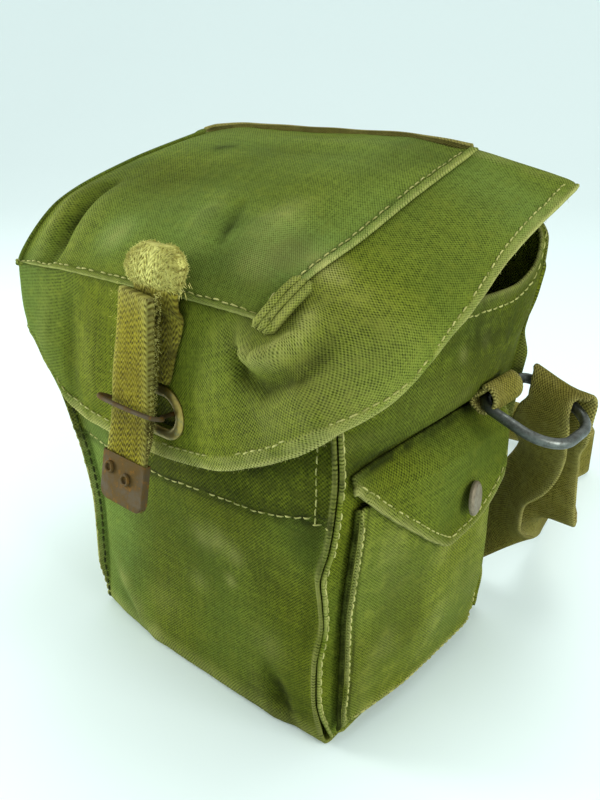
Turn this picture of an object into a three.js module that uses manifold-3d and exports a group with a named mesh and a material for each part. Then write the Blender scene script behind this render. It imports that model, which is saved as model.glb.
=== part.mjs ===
import * as THREE from 'three';
import Module from 'manifold-3d';

// Gas mask bag in millimetres, +Z up, front towards -Y, pocket on the +X side.
// Cloth and webbing
const canvas = 1.6;
const gap = 0.4;
const lip = 4.5;
const strapWide = 25.4;
const strapThick = 2.4;
const slingThick = 2.2;
// Metal
const ringWire = 2.2;
const ringHalf = 16.6;
const ringLong = 39.5;
const ringBend = 15;
const ringCorner = 6.5;
const ringX = 103.6;
const ringFarY = 49.5;
const ringZ = 127.6;
const ringSlope = -0.35;
const stapleWire = 0.9;
const studRadius = 7.3;

// The strip that makes front, bottom and back: seam edges and belly of each cross section.
const wrapRows = [
  { at: 12, y: -74, z: 156, left: -77, right: 78.5, belly: 1 },
  { at: 30, y: -73.5, z: 138, left: -76, right: 78.5, belly: 2 },
  { at: 62, y: -70, z: 106, left: -74, right: 75.5, belly: 4 },
  { at: 108, y: -66, z: 60, left: -71.5, right: 71, belly: 5 },
  { at: 150, y: -65, z: 18, left: -72, right: 70.5, belly: 5.5 },
  { at: 160, y: -65, z: 8, left: -72, right: 71, belly: 5.5 },
  { at: 165, y: -64.5, z: 2.5, left: -72.5, right: 71.5, belly: 5 },
  { at: 169, y: -61.5, z: 0.3, left: -72.5, right: 71.5, belly: 3 },
  { at: 176, y: -54, z: 0, left: -72, right: 71, belly: 0 },
  { at: 228, y: 0, z: 0, left: -71, right: 70, belly: 0 },
  { at: 280, y: 52, z: 0, left: -71, right: 70, belly: 0 },
  { at: 288, y: 60, z: 1.5, left: -71, right: 70, belly: 0.5 },
  { at: 296, y: 64, z: 8, left: -71, right: 70, belly: 1.5 },
  { at: 306, y: 65.5, z: 18, left: -71, right: 70.5, belly: 2.5 },
  { at: 348, y: 66, z: 60, left: -72, right: 72, belly: 4 },
  { at: 428, y: 64, z: 140, left: -77, right: 76, belly: 4 },
  { at: 479, y: 59, z: 190, left: -84, right: 83, belly: 3 },
  { at: 511, y: 50, z: 222.3, left: -92, right: 50, belly: 0 },
];
const frontEnd = 176;
const backStart = 280;
const backEnd = 511;

// How far each side panel swells at a height.
const swellRows = [
  { at: 0, right: 1, left: 1 },
  { at: 40, right: 2, left: 4 },
  { at: 100, right: 2, left: 6 },
  { at: 122, right: 1, left: 5 },
  { at: 131, right: 0, left: 2 },
  { at: 138, right: 0.5, left: 2 },
  { at: 144, right: 4, left: 4 },
  { at: 154, right: 7, left: 6 },
  { at: 166, right: 7, left: 6 },
  { at: 177, right: 5, left: 4 },
  { at: 205, right: 3, left: 2 },
];

// Height of the side mouth hem, from the front seam to the back seam.
const mouthRows = [
  { at: 0, z: 158 },
  { at: 0.2, z: 169 },
  { at: 0.5, z: 178 },
  { at: 0.75, z: 177 },
  { at: 0.9, z: 181 },
  { at: 1, z: 200 },
];

// Flap: seam of the top panel and hem of the skirt, from the left back round the front to the right back.
const flapRows = [
  { at: 0, rimX: -99, rimY: 40, rimZ: 222, hemX: -104, hemY: 44, hemZ: 184, belly: 2 },
  { at: 1, rimX: -100, rimY: -12, rimZ: 213, hemX: -105, hemY: -12, hemZ: 174, belly: 3 },
  { at: 2, rimX: -97, rimY: -52, rimZ: 200, hemX: -101, hemY: -56, hemZ: 160, belly: 3 },
  { at: 3, rimX: -86, rimY: -79, rimZ: 179, hemX: -81, hemY: -82, hemZ: 148, belly: 2 },
  { at: 4, rimX: -50, rimY: -80, rimZ: 181, hemX: -57, hemY: -82, hemZ: 120, belly: 3 },
  { at: 5, rimX: -15, rimY: -80, rimZ: 182, hemX: -18, hemY: -81.5, hemZ: 115, belly: 1 },
  { at: 6, rimX: 20, rimY: -80, rimZ: 183, hemX: 22, hemY: -82, hemZ: 119, belly: 2 },
  { at: 7, rimX: 44, rimY: -80, rimZ: 183, hemX: 57, hemY: -83, hemZ: 132, belly: 4 },
  { at: 8, rimX: 55, rimY: -77, rimZ: 181, hemX: 87, hemY: -82, hemZ: 152, belly: 7 },
  { at: 9, rimX: 55, rimY: -60, rimZ: 191, hemX: 94, hemY: -56, hemZ: 161, belly: 11 },
  { at: 10, rimX: 55, rimY: -30, rimZ: 200, hemX: 94, hemY: -24, hemZ: 175, belly: 8 },
  { at: 11, rimX: 55, rimY: 5, rimZ: 212, hemX: 92, hemY: 20, hemZ: 195, belly: 4 },
  { at: 12, rimX: 54, rimY: 47, rimZ: 224, hemX: 91, hemY: 68, hemZ: 211, belly: 2 },
];
const backRows = [
  { at: 0, x: -99, y: 40, z: 222 },
  { at: 0.15, x: -77, y: 49.4, z: 225 },
  { at: 0.5, x: -24, y: 50.4, z: 226 },
  { at: 0.75, x: 15, y: 50.4, z: 226.5 },
  { at: 1, x: 54, y: 47, z: 224 },
];
const crown = 6;

// Hem of the pocket flap along the side.
const pocketFlapRows = [
  { at: -64, z: 122.5 },
  { at: -53, z: 111.5 },
  { at: -36, z: 97 },
  { at: -21, z: 85 },
  { at: -10, z: 79 },
  { at: 9, z: 81 },
  { at: 27, z: 87 },
  { at: 40, z: 98 },
  { at: 47, z: 111 },
];
const pocketFlapTop = 129;
const pocketFront = -57;
const pocketBack = 56;
const pocketFoot = 8;
const pocketTop = 113;
const pocketDeep = 9.8;

// Sling from its free end below the right ring, over the ring, round the back on the floor, to the left ring.
// px to pz is the middle of the webbing, wx to wz the way its width points; it is drawn in inside the rings.
const slingRows = [
  { px: 74, py: 79.5, pz: 25, wx: 0.74, wy: -0.1, wz: 0.66, wide: 30 },
  { px: 71.5, py: 78, pz: 36, wx: 0.86, wy: -0.3, wz: 0.4, wide: 29 },
  { px: 72.5, py: 75.5, pz: 50, wx: 0.85, wy: -0.5, wz: 0.12, wide: 28 },
  { px: 77, py: 72, pz: 66, wx: 0.82, wy: -0.55, wz: 0, wide: 27 },
  { px: 90, py: 65.5, pz: 84, wx: 0.82, wy: -0.55, wz: -0.03, wide: 27 },
  { px: 97, py: 53.5, pz: 103, wx: 0.97, wy: -0.2, wz: -0.16, wide: 25 },
  { px: 100.8, py: 45, pz: 117, wx: 1, wy: -0.05, wz: -0.3, wide: 21 },
  { px: 101, py: 44.2, pz: 125.5, wx: 1, wy: -0.05, wz: -0.34, wide: 19.5 },
  { px: 101.3, py: 44.7, pz: 129.6, wx: 1, wy: -0.05, wz: -0.34, wide: 19.5 },
  { px: 101.9, py: 46.4, pz: 132.8, wx: 1, wy: -0.05, wz: -0.34, wide: 22 },
  { px: 102.4, py: 49.4, pz: 133.8, wx: 1, wy: -0.05, wz: -0.34, wide: 28 },
  { px: 102.8, py: 52.4, pz: 132.2, wx: 1, wy: -0.05, wz: -0.34, wide: 30 },
  { px: 103.2, py: 53.9, pz: 128.6, wx: 1, wy: -0.05, wz: -0.34, wide: 30 },
  { px: 103, py: 54, pz: 123, wx: 1, wy: -0.05, wz: -0.33, wide: 30 },
  { px: 101.5, py: 57.5, pz: 112, wx: 1, wy: -0.05, wz: -0.28, wide: 29 },
  { px: 97.5, py: 65.5, pz: 99, wx: 1, wy: 0, wz: -0.15, wide: 25 },
  { px: 93, py: 74.5, pz: 84, wx: 1, wy: 0, wz: -0.05, wide: 28 },
  { px: 92, py: 77, pz: 64, wx: 1, wy: 0, wz: 0, wide: 30 },
  { px: 91.6, py: 80.5, pz: 51, wx: 1, wy: 0, wz: 0.1, wide: 30 },
  { px: 93.5, py: 91, pz: 48.5, wx: 0.75, wy: 0, wz: 0.65, wide: 30 },
  { px: 91.5, py: 112, pz: 35, wx: 0.15, wy: 0, wz: 1, wide: 30 },
  { px: 88, py: 142, pz: 18.5, wx: 0.02, wy: 0, wz: 1, wide: 30 },
  { px: 88, py: 170, pz: 17, wx: 0, wy: 0, wz: 1, wide: 30 },
  { px: 85.5, py: 196, pz: 17, wx: 0, wy: 0, wz: 1, wide: 30 },
  { px: 68, py: 219, pz: 17, wx: 0, wy: 0, wz: 1, wide: 30 },
  { px: 24, py: 233, pz: 17, wx: 0, wy: 0, wz: 1, wide: 30 },
  { px: -26, py: 234, pz: 17, wx: 0, wy: 0, wz: 1, wide: 30 },
  { px: -78, py: 212, pz: 17, wx: 0, wy: 0, wz: 1, wide: 30 },
  { px: -114, py: 168, pz: 17, wx: 0, wy: 0, wz: 1, wide: 30 },
  { px: -126, py: 116, pz: 22, wx: -0.2, wy: 0, wz: 1, wide: 30 },
  { px: -119, py: 80, pz: 50, wx: -0.75, wy: 0, wz: 0.6, wide: 30 },
  { px: -109, py: 60, pz: 92, wx: -1, wy: 0, wz: -0.05, wide: 30 },
  { px: -104, py: 54.4, pz: 118, wx: -1, wy: -0.05, wz: -0.33, wide: 30 },
  { px: -103.2, py: 53.9, pz: 128.6, wx: -1, wy: -0.05, wz: -0.34, wide: 30 },
  { px: -102.8, py: 52.4, pz: 132.2, wx: -1, wy: -0.05, wz: -0.34, wide: 30 },
  { px: -102.4, py: 49.4, pz: 133.8, wx: -1, wy: -0.05, wz: -0.34, wide: 28 },
  { px: -101.9, py: 46.4, pz: 132.8, wx: -1, wy: -0.05, wz: -0.34, wide: 22 },
  { px: -101.3, py: 44.7, pz: 129.6, wx: -1, wy: -0.05, wz: -0.34, wide: 19.5 },
  { px: -101, py: 44.2, pz: 125.5, wx: -1, wy: -0.05, wz: -0.34, wide: 19.5 },
  { px: -100.6, py: 44.3, pz: 116, wx: -1, wy: -0.05, wz: -0.3, wide: 22 },
  { px: -101.5, py: 45.5, pz: 100, wx: -1, wy: 0, wz: -0.1, wide: 26 },
  { px: -103, py: 47.5, pz: 80, wx: -1, wy: 0, wz: 0, wide: 29 },
];

// Tongue of the closing strap: middle of its front face from the top fold to the tip.
const tongueRows = [
  { at: 0, x: 4, y: -91.6, z: 186 },
  { at: 0.25, x: 1, y: -91.8, z: 166 },
  { at: 0.55, x: -3, y: -92, z: 141 },
  { at: 0.75, x: -4.5, y: -94, z: 122 },
  { at: 1, x: -5, y: -98.5, z: 100 },
];
const tongueThick = 4;
const tipStart = 0.76;
const tipSheet = 0.8;
// Anchor band on the flap front and its worn rolled end above the seam; y is the middle of the webbing.
const anchorRows = [
  { x: -3, y: 0, z: 149, wide: 25.4, thick: 2.4 },
  { x: 1, y: 0, z: 162, wide: 25.4, thick: 2.4 },
  { x: 5, y: 0, z: 174, wide: 25.4, thick: 2.4 },
  { x: 7, y: -84.7, z: 180, wide: 26, thick: 3.6 },
  { x: 7, y: -84.8, z: 185, wide: 27, thick: 4.6 },
  { x: 7, y: -84, z: 190, wide: 28, thick: 8 },
  { x: 7, y: -82.5, z: 196, wide: 28, thick: 10.5 },
  { x: 7, y: -80.5, z: 201, wide: 24, thick: 9 },
  { x: 7, y: -79.5, z: 204, wide: 14, thick: 4 },
];
const eyelet = { x: -6.5, z: 133.5, halfLong: 20.7, halfTall: 11, band: 4.5, thick: 2.6 };
const staple = { left: -19, right: 6, z: 134, barLeft: -20.5, barRight: 14.5, barZ: 139.5, barY: -94 };

const group = new THREE.Group();
const v3 = (x, y, z) => new THREE.Vector3(x, y, z);
const mix = (a, b, t) => a + (b - a) * t;
const clamp = (v, a, b) => Math.min(b, Math.max(a, v));
const rise = (t) => t * t * (3 - 2 * t);
const dome = (u, power) => 1 - Math.abs(2 * u - 1) ** power;

// A curve through the rows of a table that never passes beyond its neighbours.
function column(rows, key) {
  const xs = rows.map((r) => r.at);
  const ys = rows.map((r) => r[key]);
  const slopes = xs.slice(1).map((x, i) => (ys[i + 1] - ys[i]) / (x - xs[i]));
  const tangents = xs.map((x, i) => {
    if (i === 0) return slopes[0];
    if (i === xs.length - 1) return slopes[i - 1];
    const a = slopes[i - 1];
    const b = slopes[i];
    return a * b <= 0 ? 0 : (2 * a * b) / (a + b);
  });
  return (at) => {
    const t = clamp(at, xs[0], xs[xs.length - 1]);
    let i = 0;
    while (i < xs.length - 2 && t > xs[i + 1]) i += 1;
    const h = xs[i + 1] - xs[i];
    const s = (t - xs[i]) / h;
    const a = (1 + 2 * s) * (1 - s) * (1 - s) * ys[i] + s * (1 - s) * (1 - s) * h * tangents[i];
    return a + s * s * (3 - 2 * s) * ys[i + 1] + s * s * (s - 1) * h * tangents[i + 1];
  };
}

function columns(rows) {
  const names = Object.keys(rows[0]).filter((k) => k !== 'at');
  const curves = names.map((k) => column(rows, k));
  return (at) => Object.fromEntries(names.map((k, i) => [k, curves[i](at)]));
}

function add(name, geometry, look) {
  const material = new THREE.MeshStandardMaterial(look);
  const mesh = new THREE.Mesh(geometry, material);
  mesh.name = name;
  group.add(mesh);
}

function solid(points, faces) {
  const volume = faces.reduce((sum, f) => {
    const [a, b, c] = f.map((i) => points[i]);
    return sum + a.dot(b.clone().cross(c));
  }, 0);
  const turned = volume < 0 ? faces.map(([a, b, c]) => [a, c, b]) : faces;
  const geometry = new THREE.BufferGeometry();
  geometry.setAttribute('position', new THREE.Float32BufferAttribute(points.flatMap((p) => p.toArray()), 3));
  geometry.setIndex(turned.flat());
  geometry.computeVertexNormals();
  return geometry;
}

// A cloth wall: rows of points on its outer face, and the same rows one thickness behind.
// side is 1 where (along a row) x (from row to row) points out of the cloth, -1 where it points in.
function wall(rows, thick, side) {
  const count = rows.length;
  const wide = rows[0].length;
  const cell = [];
  for (let j = 0; j < count - 1; j += 1) {
    cell.push([]);
    for (let i = 0; i < wide - 1; i += 1) {
      const a = rows[j + 1][i + 1].clone().sub(rows[j][i]);
      const b = rows[j + 1][i].clone().sub(rows[j][i + 1]);
      cell[j].push(a.cross(b).normalize().multiplyScalar(side));
    }
  }
  const points = rows.flat();
  rows.forEach((row, j) => row.forEach((p, i) => {
    const near = [];
    [j - 1, j].forEach((b) => [i - 1, i].forEach((a) => {
      if (cell[b] && cell[b][a]) near.push(cell[b][a]);
    }));
    const n = near.reduce((s, c) => s.add(c), v3(0, 0, 0)).normalize();
    const lean = near.reduce((s, c) => s + c.dot(n), 0) / near.length;
    points.push(p.clone().addScaledVector(n, -thick / Math.max(lean, 0.6)));
  }));
  const faces = [];
  const back = count * wide;
  const quad = (a, b, c, d) => faces.push([a, b, c], [a, c, d]);
  for (let j = 0; j < count - 1; j += 1) {
    for (let i = 0; i < wide - 1; i += 1) {
      const a = j * wide + i;
      quad(a, a + 1, a + wide + 1, a + wide);
      quad(back + a, back + a + wide, back + a + wide + 1, back + a + 1);
    }
  }
  for (let i = 0; i < wide - 1; i += 1) {
    const b = (count - 1) * wide + i;
    quad(i + 1, i, back + i, back + i + 1);
    quad(b, b + 1, back + b + 1, back + b);
  }
  for (let j = 0; j < count - 1; j += 1) {
    const a = j * wide;
    const b = a + wide - 1;
    quad(a, a + wide, back + a + wide, back + a);
    quad(b + wide, b, back + b, back + b + wide);
  }
  return solid(points, faces);
}

// A bar of one section along a path; frames gives the two section directions at each point.
function sweep(path, frames, section, closed) {
  const n = section.length;
  const points = path.flatMap((p, i) => section.map(([a, b]) => p.clone()
    .addScaledVector(frames[i][0], a).addScaledVector(frames[i][1], b)));
  const faces = [];
  const last = closed ? path.length : path.length - 1;
  for (let i = 0; i < last; i += 1) {
    const next = (i + 1) % path.length;
    for (let k = 0; k < n; k += 1) {
      const l = (k + 1) % n;
      faces.push([i * n + k, next * n + k, next * n + l], [i * n + k, next * n + l, i * n + l]);
    }
  }
  if (!closed) {
    const end = (path.length - 1) * n;
    for (let k = 1; k < n - 1; k += 1) {
      faces.push([0, k, k + 1], [end, end + k + 1, end + k]);
    }
  }
  return solid(points, faces);
}

function roundSection(radiusA, radiusB, sides) {
  return Array.from({ length: sides }, (_, k) => {
    const a = (k / sides) * Math.PI * 2;
    return [Math.cos(a) * radiusA, Math.sin(a) * radiusB];
  });
}

const flatSection = (wide, thick) => [
  [-wide / 2, -thick / 2], [wide / 2, -thick / 2], [wide / 2, thick / 2], [-wide / 2, thick / 2],
];

function tangentAt(path, i, closed) {
  const n = path.length;
  const a = closed ? path[(i + n - 1) % n] : path[Math.max(i - 1, 0)];
  const b = closed ? path[(i + 1) % n] : path[Math.min(i + 1, n - 1)];
  return b.clone().sub(a).normalize();
}

// Frames whose first direction leans as close as it can to the given one.
function leaningFrames(path, wanted, closed) {
  return path.map((p, i) => {
    const t = tangentAt(path, i, closed);
    const w = wanted[i].clone().addScaledVector(t, -wanted[i].dot(t)).normalize();
    return [w, t.clone().cross(w)];
  });
}

// A solid through matching rings of points.
function loft(rings) {
  const n = rings[0].length;
  const faces = [];
  for (let i = 0; i < rings.length - 1; i += 1) {
    for (let k = 0; k < n; k += 1) {
      const l = (k + 1) % n;
      faces.push([i * n + k, i * n + n + k, i * n + n + l], [i * n + k, i * n + n + l, i * n + l]);
    }
  }
  const end = (rings.length - 1) * n;
  for (let k = 1; k < n - 1; k += 1) {
    faces.push([0, k, k + 1], [end, end + k + 1, end + k]);
  }
  return solid(rings.flat(), faces);
}

function oblong(halfLong, halfTall, sides) {
  const r = Math.min(halfTall, halfLong);
  return Array.from({ length: sides }, (_, k) => {
    const a = ((k + 0.5) / sides) * Math.PI * 2;
    const x = Math.cos(a) * r + Math.sign(Math.cos(a)) * (halfLong - r);
    return [x, Math.sin(a) * r];
  });
}

const wasm = await Module();
wasm.setup();

function body(geometry) {
  const vertProperties = new Float32Array(geometry.attributes.position.array);
  const triVerts = new Uint32Array(geometry.index.array);
  return new wasm.Manifold(new wasm.Mesh({ numProp: 3, vertProperties, triVerts }));
}

function cut(geometry, tool) {
  const mesh = body(geometry).subtract(body(tool)).getMesh();
  const out = new THREE.BufferGeometry();
  out.setAttribute('position', new THREE.BufferAttribute(new Float32Array(mesh.vertProperties), 3));
  out.setIndex(new THREE.BufferAttribute(new Uint32Array(mesh.triVerts), 1));
  out.computeVertexNormals();
  return out;
}

// Looks
const green = { color: 0x5c6b2c, roughness: 0.9, metalness: 0 };
const khaki = { color: 0x8a7f4a, roughness: 0.95, metalness: 0 };
const tan = { color: 0xa39a58, roughness: 0.95, metalness: 0 };
const steel = { color: 0x6c6f6c, roughness: 0.4, metalness: 0.9 };
const rust = { color: 0x6b4a34, roughness: 0.8, metalness: 0.5 };
const brass = { color: 0x9a8540, roughness: 0.5, metalness: 0.8 };

// Body strip
const wrap = columns(wrapRows);
const swell = columns(swellRows);
const mouth = column(mouthRows, 'z');

function wrapAt(at) {
  const here = wrap(at);
  const a = wrap(at - 0.5);
  const b = wrap(at + 0.5);
  here.out = v3(0, b.z - a.z, -(b.y - a.y)).normalize();
  const foot = rise(clamp((at - 140) / 26, 0, 1)) * rise(clamp((316 - at) / 26, 0, 1));
  here.lip = mix(lip, 1.6, foot);
  here.spread = 1 - foot;
  return here;
}

function wrapRow(at) {
  const here = wrapAt(at);
  const point = (u) => {
    const p = v3(mix(here.left, here.right, u), here.y, here.z);
    p.addScaledVector(here.out, here.belly * dome(u, 2.6));
    return p.setZ(Math.max(p.z, 0));
  };
  const turn = (u, sign) => {
    const d = v3(sign, 0, 0).addScaledVector(here.out, here.spread).normalize();
    return point(u).addScaledVector(d, here.lip);
  };
  const inner = [0, 0.04, 0.11, 0.2, 0.3, 0.4, 0.5, 0.6, 0.7, 0.8, 0.89, 0.96, 1].map(point);
  return [turn(0, -1), ...inner, turn(1, 1)];
}

const wrapStops = [
  12, 21, 30, 46, 62, 78, 94, 108, 124, 138, 150, 155, 160, 162.5, 165, 167, 169, 172, 176, 202, 228, 254,
  280, 284, 288, 292, 296, 301, 306, 318, 334, 348, 368, 388, 408, 428, 446, 463, 479, 490, 500, 511,
];
add('body_wrap', wall(wrapStops.map(wrapRow), canvas, -1), green);

// Where the strip stands at a height, on its front or its back.
function heightStop(z, low, high, falling) {
  let a = low;
  let b = high;
  for (let k = 0; k < 40; k += 1) {
    const m = (a + b) / 2;
    if ((wrap(m).z > z) === falling) a = m;
    else b = m;
  }
  return (a + b) / 2;
}

const inset = Math.SQRT2 * canvas + gap;

// A side panel: outer face at a share of its depth and a height.
function sideAt(sign, u, z) {
  const front = wrapAt(heightStop(z, 12, frontEnd, true));
  const back = wrapAt(heightStop(z, backStart, backEnd, false));
  const key = sign > 0 ? 'right' : 'left';
  const x = mix(front[key], back[key], u) + sign * (inset + swell(z)[key] * dome(u, 2.4));
  const round = inset + 2.6 * rise(clamp((20 - z) / 18, 0, 1));
  return { front, back, p: v3(x, mix(front.y + round, back.y - round, u), z) };
}

function sidePanel(name, sign) {
  const shares = [0, 0.03, 0.09, 0.18, 0.3, 0.42, 0.54, 0.66, 0.78, 0.88, 0.95, 1];
  const low = [0, 0.02, 0.05, 0.1, 0.2, 0.32, 0.44, 0.55, 0.64];
  const heights = [...low, 0.69, 0.72, 0.75, 0.78, 0.81, 0.85, 0.9, 0.95, 1];
  const foot = canvas + gap + 1.6;
  const rows = heights.map((h) => {
    const at = (u) => sideAt(sign, u, mix(foot, mouth(u), h));
    const turn = (u, end, way) => {
      const here = at(u);
      const seam = here[end];
      const size = seam.lip * seam.spread + 0.6;
      const d = v3(sign, 0, 0).addScaledVector(seam.out, seam.spread).normalize();
      return here.p.clone().addScaledVector(d, size).add(v3(0, way * 0.02, 0));
    };
    return [turn(0, 'front', -1), ...shares.map((u) => at(u).p), turn(1, 'back', 1)];
  });
  add(name, wall(rows, canvas, sign), green);
}

sidePanel('right_side', 1);
sidePanel('left_side', -1);

// Flap
const flap = columns(flapRows);
const backEdge = columns(backRows);
const rimAt = (at) => {
  const r = flap(at);
  return v3(r.rimX, r.rimY, r.rimZ);
};
const hemAt = (at) => {
  const r = flap(at);
  return v3(r.hemX, r.hemY, r.hemZ);
};

function skirtAt(at, s) {
  const rim = rimAt(at);
  const hem = hemAt(at);
  const along = rimAt(at + 0.05).sub(rimAt(at - 0.05)).add(hemAt(at + 0.05)).sub(hemAt(at - 0.05));
  const out = along.cross(v3(0, 0, 1)).normalize();
  const drop = 2.4 / rim.distanceTo(hem);
  const t = mix(drop, 1, s);
  return rim.lerp(hem, t).addScaledVector(out, flap(at).belly * 6.75 * t * t * (1 - t));
}

const skirtStops = Array.from({ length: 43 }, (_, i) => (i * 2) / 7);
const skirtShares = [0, 0.12, 0.25, 0.4, 0.55, 0.7, 0.85, 1];
const skirtWall = wall(skirtShares.map((s) => skirtStops.map((at) => skirtAt(at, s))), canvas, -1);
const slotRow = (y) => oblong(eyelet.halfLong - eyelet.band, eyelet.halfTall - eyelet.band, 28)
  .map(([x, z]) => v3(eyelet.x + x, y, eyelet.z + z));
add('flap_skirt', cut(skirtWall, loft([slotRow(-100), slotRow(-70)])), green);

function topAt(u, v) {
  const b = backEdge(u);
  const back = v3(b.x, b.y, b.z);
  const front = rimAt(3 + 5 * u);
  const left = rimAt(3 - 3 * v);
  const right = rimAt(8 + 4 * v);
  const corner = (at, share) => rimAt(at).multiplyScalar(share);
  const p = front.multiplyScalar(1 - v).addScaledVector(back, v);
  p.addScaledVector(left, 1 - u).addScaledVector(right, u);
  p.sub(corner(3, (1 - u) * (1 - v))).sub(corner(8, u * (1 - v)));
  p.sub(corner(0, (1 - u) * v)).sub(corner(12, u * v));
  const middle = v3(-22, -15, 204);
  const away = p.clone().sub(middle).setZ(0).normalize();
  const edge = Math.max(Math.abs(2 * u - 1), 1 - 2 * v);
  p.addScaledVector(away, 1.6 * rise(clamp((edge - 0.8) / 0.2, 0, 1)));
  p.z += crown * dome(u, 3) * dome(v, 3);
  return p;
}

const topShares = [0, 0.04, 0.1, 0.18, 0.26, 0.34, 0.42, 0.5, 0.58, 0.66, 0.74, 0.82, 0.9, 0.96, 1];
add('flap_top', wall(topShares.map((v) => topShares.map((u) => topAt(u, v))), canvas, 1), green);

// Webbing along the back top edge, on the back of the strip and up past the flap.
function tapeAt(u, s) {
  const at = mix(484, 509, clamp(s / 0.8, 0, 1));
  const here = wrapAt(at);
  const left = -76;
  const right = 44;
  const p = v3(mix(left, right, u), here.y, here.z);
  const share = (p.x - here.left) / (here.right - here.left);
  p.addScaledVector(here.out, here.belly * dome(share, 2.6) + gap + 1.8);
  const top = clamp((s - 0.8) / 0.2, 0, 1);
  return p.add(v3(0, 0.4 * top, 7.5 * top));
}

const tapeAcross = Array.from({ length: 11 }, (_, i) => i / 10);
const tapeRows = [0, 0.2, 0.4, 0.6, 0.8, 1].map((s) => tapeAcross.map((u) => tapeAt(u, s)));
add('back_tape', wall(tapeRows, 1.8, -1), khaki);

// Pocket on the right side
function rightFace(y, z) {
  const front = sideAt(1, 0, z).p.y;
  const back = sideAt(1, 1, z).p.y;
  return sideAt(1, clamp((y - front) / (back - front), 0, 1), z).p.x;
}

function pocketFace(y, z) {
  const u = clamp((y - pocketFront) / (pocketBack - pocketFront), 0, 1);
  const w = clamp((z - pocketFoot) / (pocketTop - pocketFoot), 0, 1);
  const full = dome(u, 7) * (1 - (1 - w) ** 7) * mix(1, 0.75, w);
  return rightFace(y, z) + gap + 0.15 + canvas + pocketDeep * full;
}

const pocketAcross = [0, 0.02, 0.06, 0.12, 0.2, 0.32, 0.44, 0.56, 0.68, 0.8, 0.88, 0.94, 0.98, 1];
const pocketUp = [0, 0.02, 0.05, 0.1, 0.18, 0.3, 0.45, 0.6, 0.75, 0.88, 1];
const pocketRows = pocketUp.map((w) => pocketAcross.map((u) => {
  const y = mix(pocketFront, pocketBack, u);
  const z = mix(pocketFoot, pocketTop, w);
  return v3(pocketFace(y, z), y, z);
}));
add('side_pocket', wall(pocketRows, canvas, 1), green);

const pocketHem = column(pocketFlapRows, 'z');
const pocketFlapFront = -65;
const pocketFlapBack = 48;

function pocketFlapAt(u, s) {
  const y = mix(pocketFlapFront, pocketFlapBack, u);
  const z = mix(pocketFlapTop, pocketHem(y), s);
  const over = pocketFace(clamp(y, pocketFront, pocketBack), Math.min(z, pocketTop));
  const near = rightFace(y, z) + canvas + gap;
  const t = rise(clamp((pocketFlapTop - z) / 12, 0, 1));
  return v3(mix(near, Math.max(near, over + canvas + gap + 0.4), t), y, z);
}

const pocketFlapAcross = Array.from({ length: 21 }, (_, i) => i / 20);
const pocketFlapDown = [0, 0.1, 0.2, 0.35, 0.5, 0.65, 0.8, 0.92, 1];
const pocketFlapGrid = pocketFlapDown.map((s) => pocketFlapAcross.map((u) => pocketFlapAt(u, s)));
add('pocket_flap', wall(pocketFlapGrid, canvas, -1), green);

// Stud cap
const studY = 8;
const studZ = 94;
const studProfile = [
  [0, 0.5], [5.2, 0.5], [studRadius, 0.7], [studRadius, 1.6], [5.8, 2.7], [3, 3.2], [0, 3.3],
];
const studAxis = v3(1, 0.12, 0.12).normalize();
const studGeometry = new THREE.LatheGeometry(studProfile.map(([r, h]) => new THREE.Vector2(r, h)), 28);
const studShare = (studY - pocketFlapFront) / (pocketFlapBack - pocketFlapFront);
const studDown = (pocketFlapTop - studZ) / (pocketFlapTop - pocketHem(studY));
const studFoot = pocketFlapAt(studShare, studDown).add(v3(0.9, 0, 0));
studGeometry.applyQuaternion(new THREE.Quaternion().setFromUnitVectors(v3(0, 1, 0), studAxis));
studGeometry.translate(studFoot.x, studFoot.y, studFoot.z);
add('pocket_stud', studGeometry, { color: 0x7a6f58, roughness: 0.5, metalness: 0.7 });

// Rings: straight side in the chape, round bow away from the bag, sloping down.
function ringPath(sign) {
  const points = [];
  const nearY = ringFarY - ringLong;
  const arc = (cx, cy, r, from, to, n) => {
    for (let k = 0; k <= n; k += 1) {
      const a = mix(from, to, k / n) * Math.PI;
      points.push([cx + r * Math.cos(a), cy + r * Math.sin(a)]);
    }
  };
  arc(ringHalf - ringBend, ringFarY - ringBend, ringBend, 0.5, 0, 9);
  arc(ringHalf - ringBend, nearY + ringBend, ringBend, 0, -0.5, 9);
  arc(ringCorner - ringHalf, nearY + ringCorner, ringCorner, -0.5, -1, 5);
  arc(ringCorner - ringHalf, ringFarY - ringCorner, ringCorner, 1, 0.5, 5);
  return points.map(([x, y]) => v3(sign * (ringX + x), y, ringZ + ringSlope * x));
}

function ring(name, sign) {
  const path = ringPath(sign);
  const frames = leaningFrames(path, path.map(() => v3(0, 0, 1)), true);
  add(name, sweep(path, frames, roundSection(ringWire, ringWire, 12), true), steel);
}

ring('right_ring', 1);
ring('left_ring', -1);

// Chapes: webbing folded round the inner side of each ring and sewn to the side.
const chapeFront = 16.8;
const chapeBack = 42.2;

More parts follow.
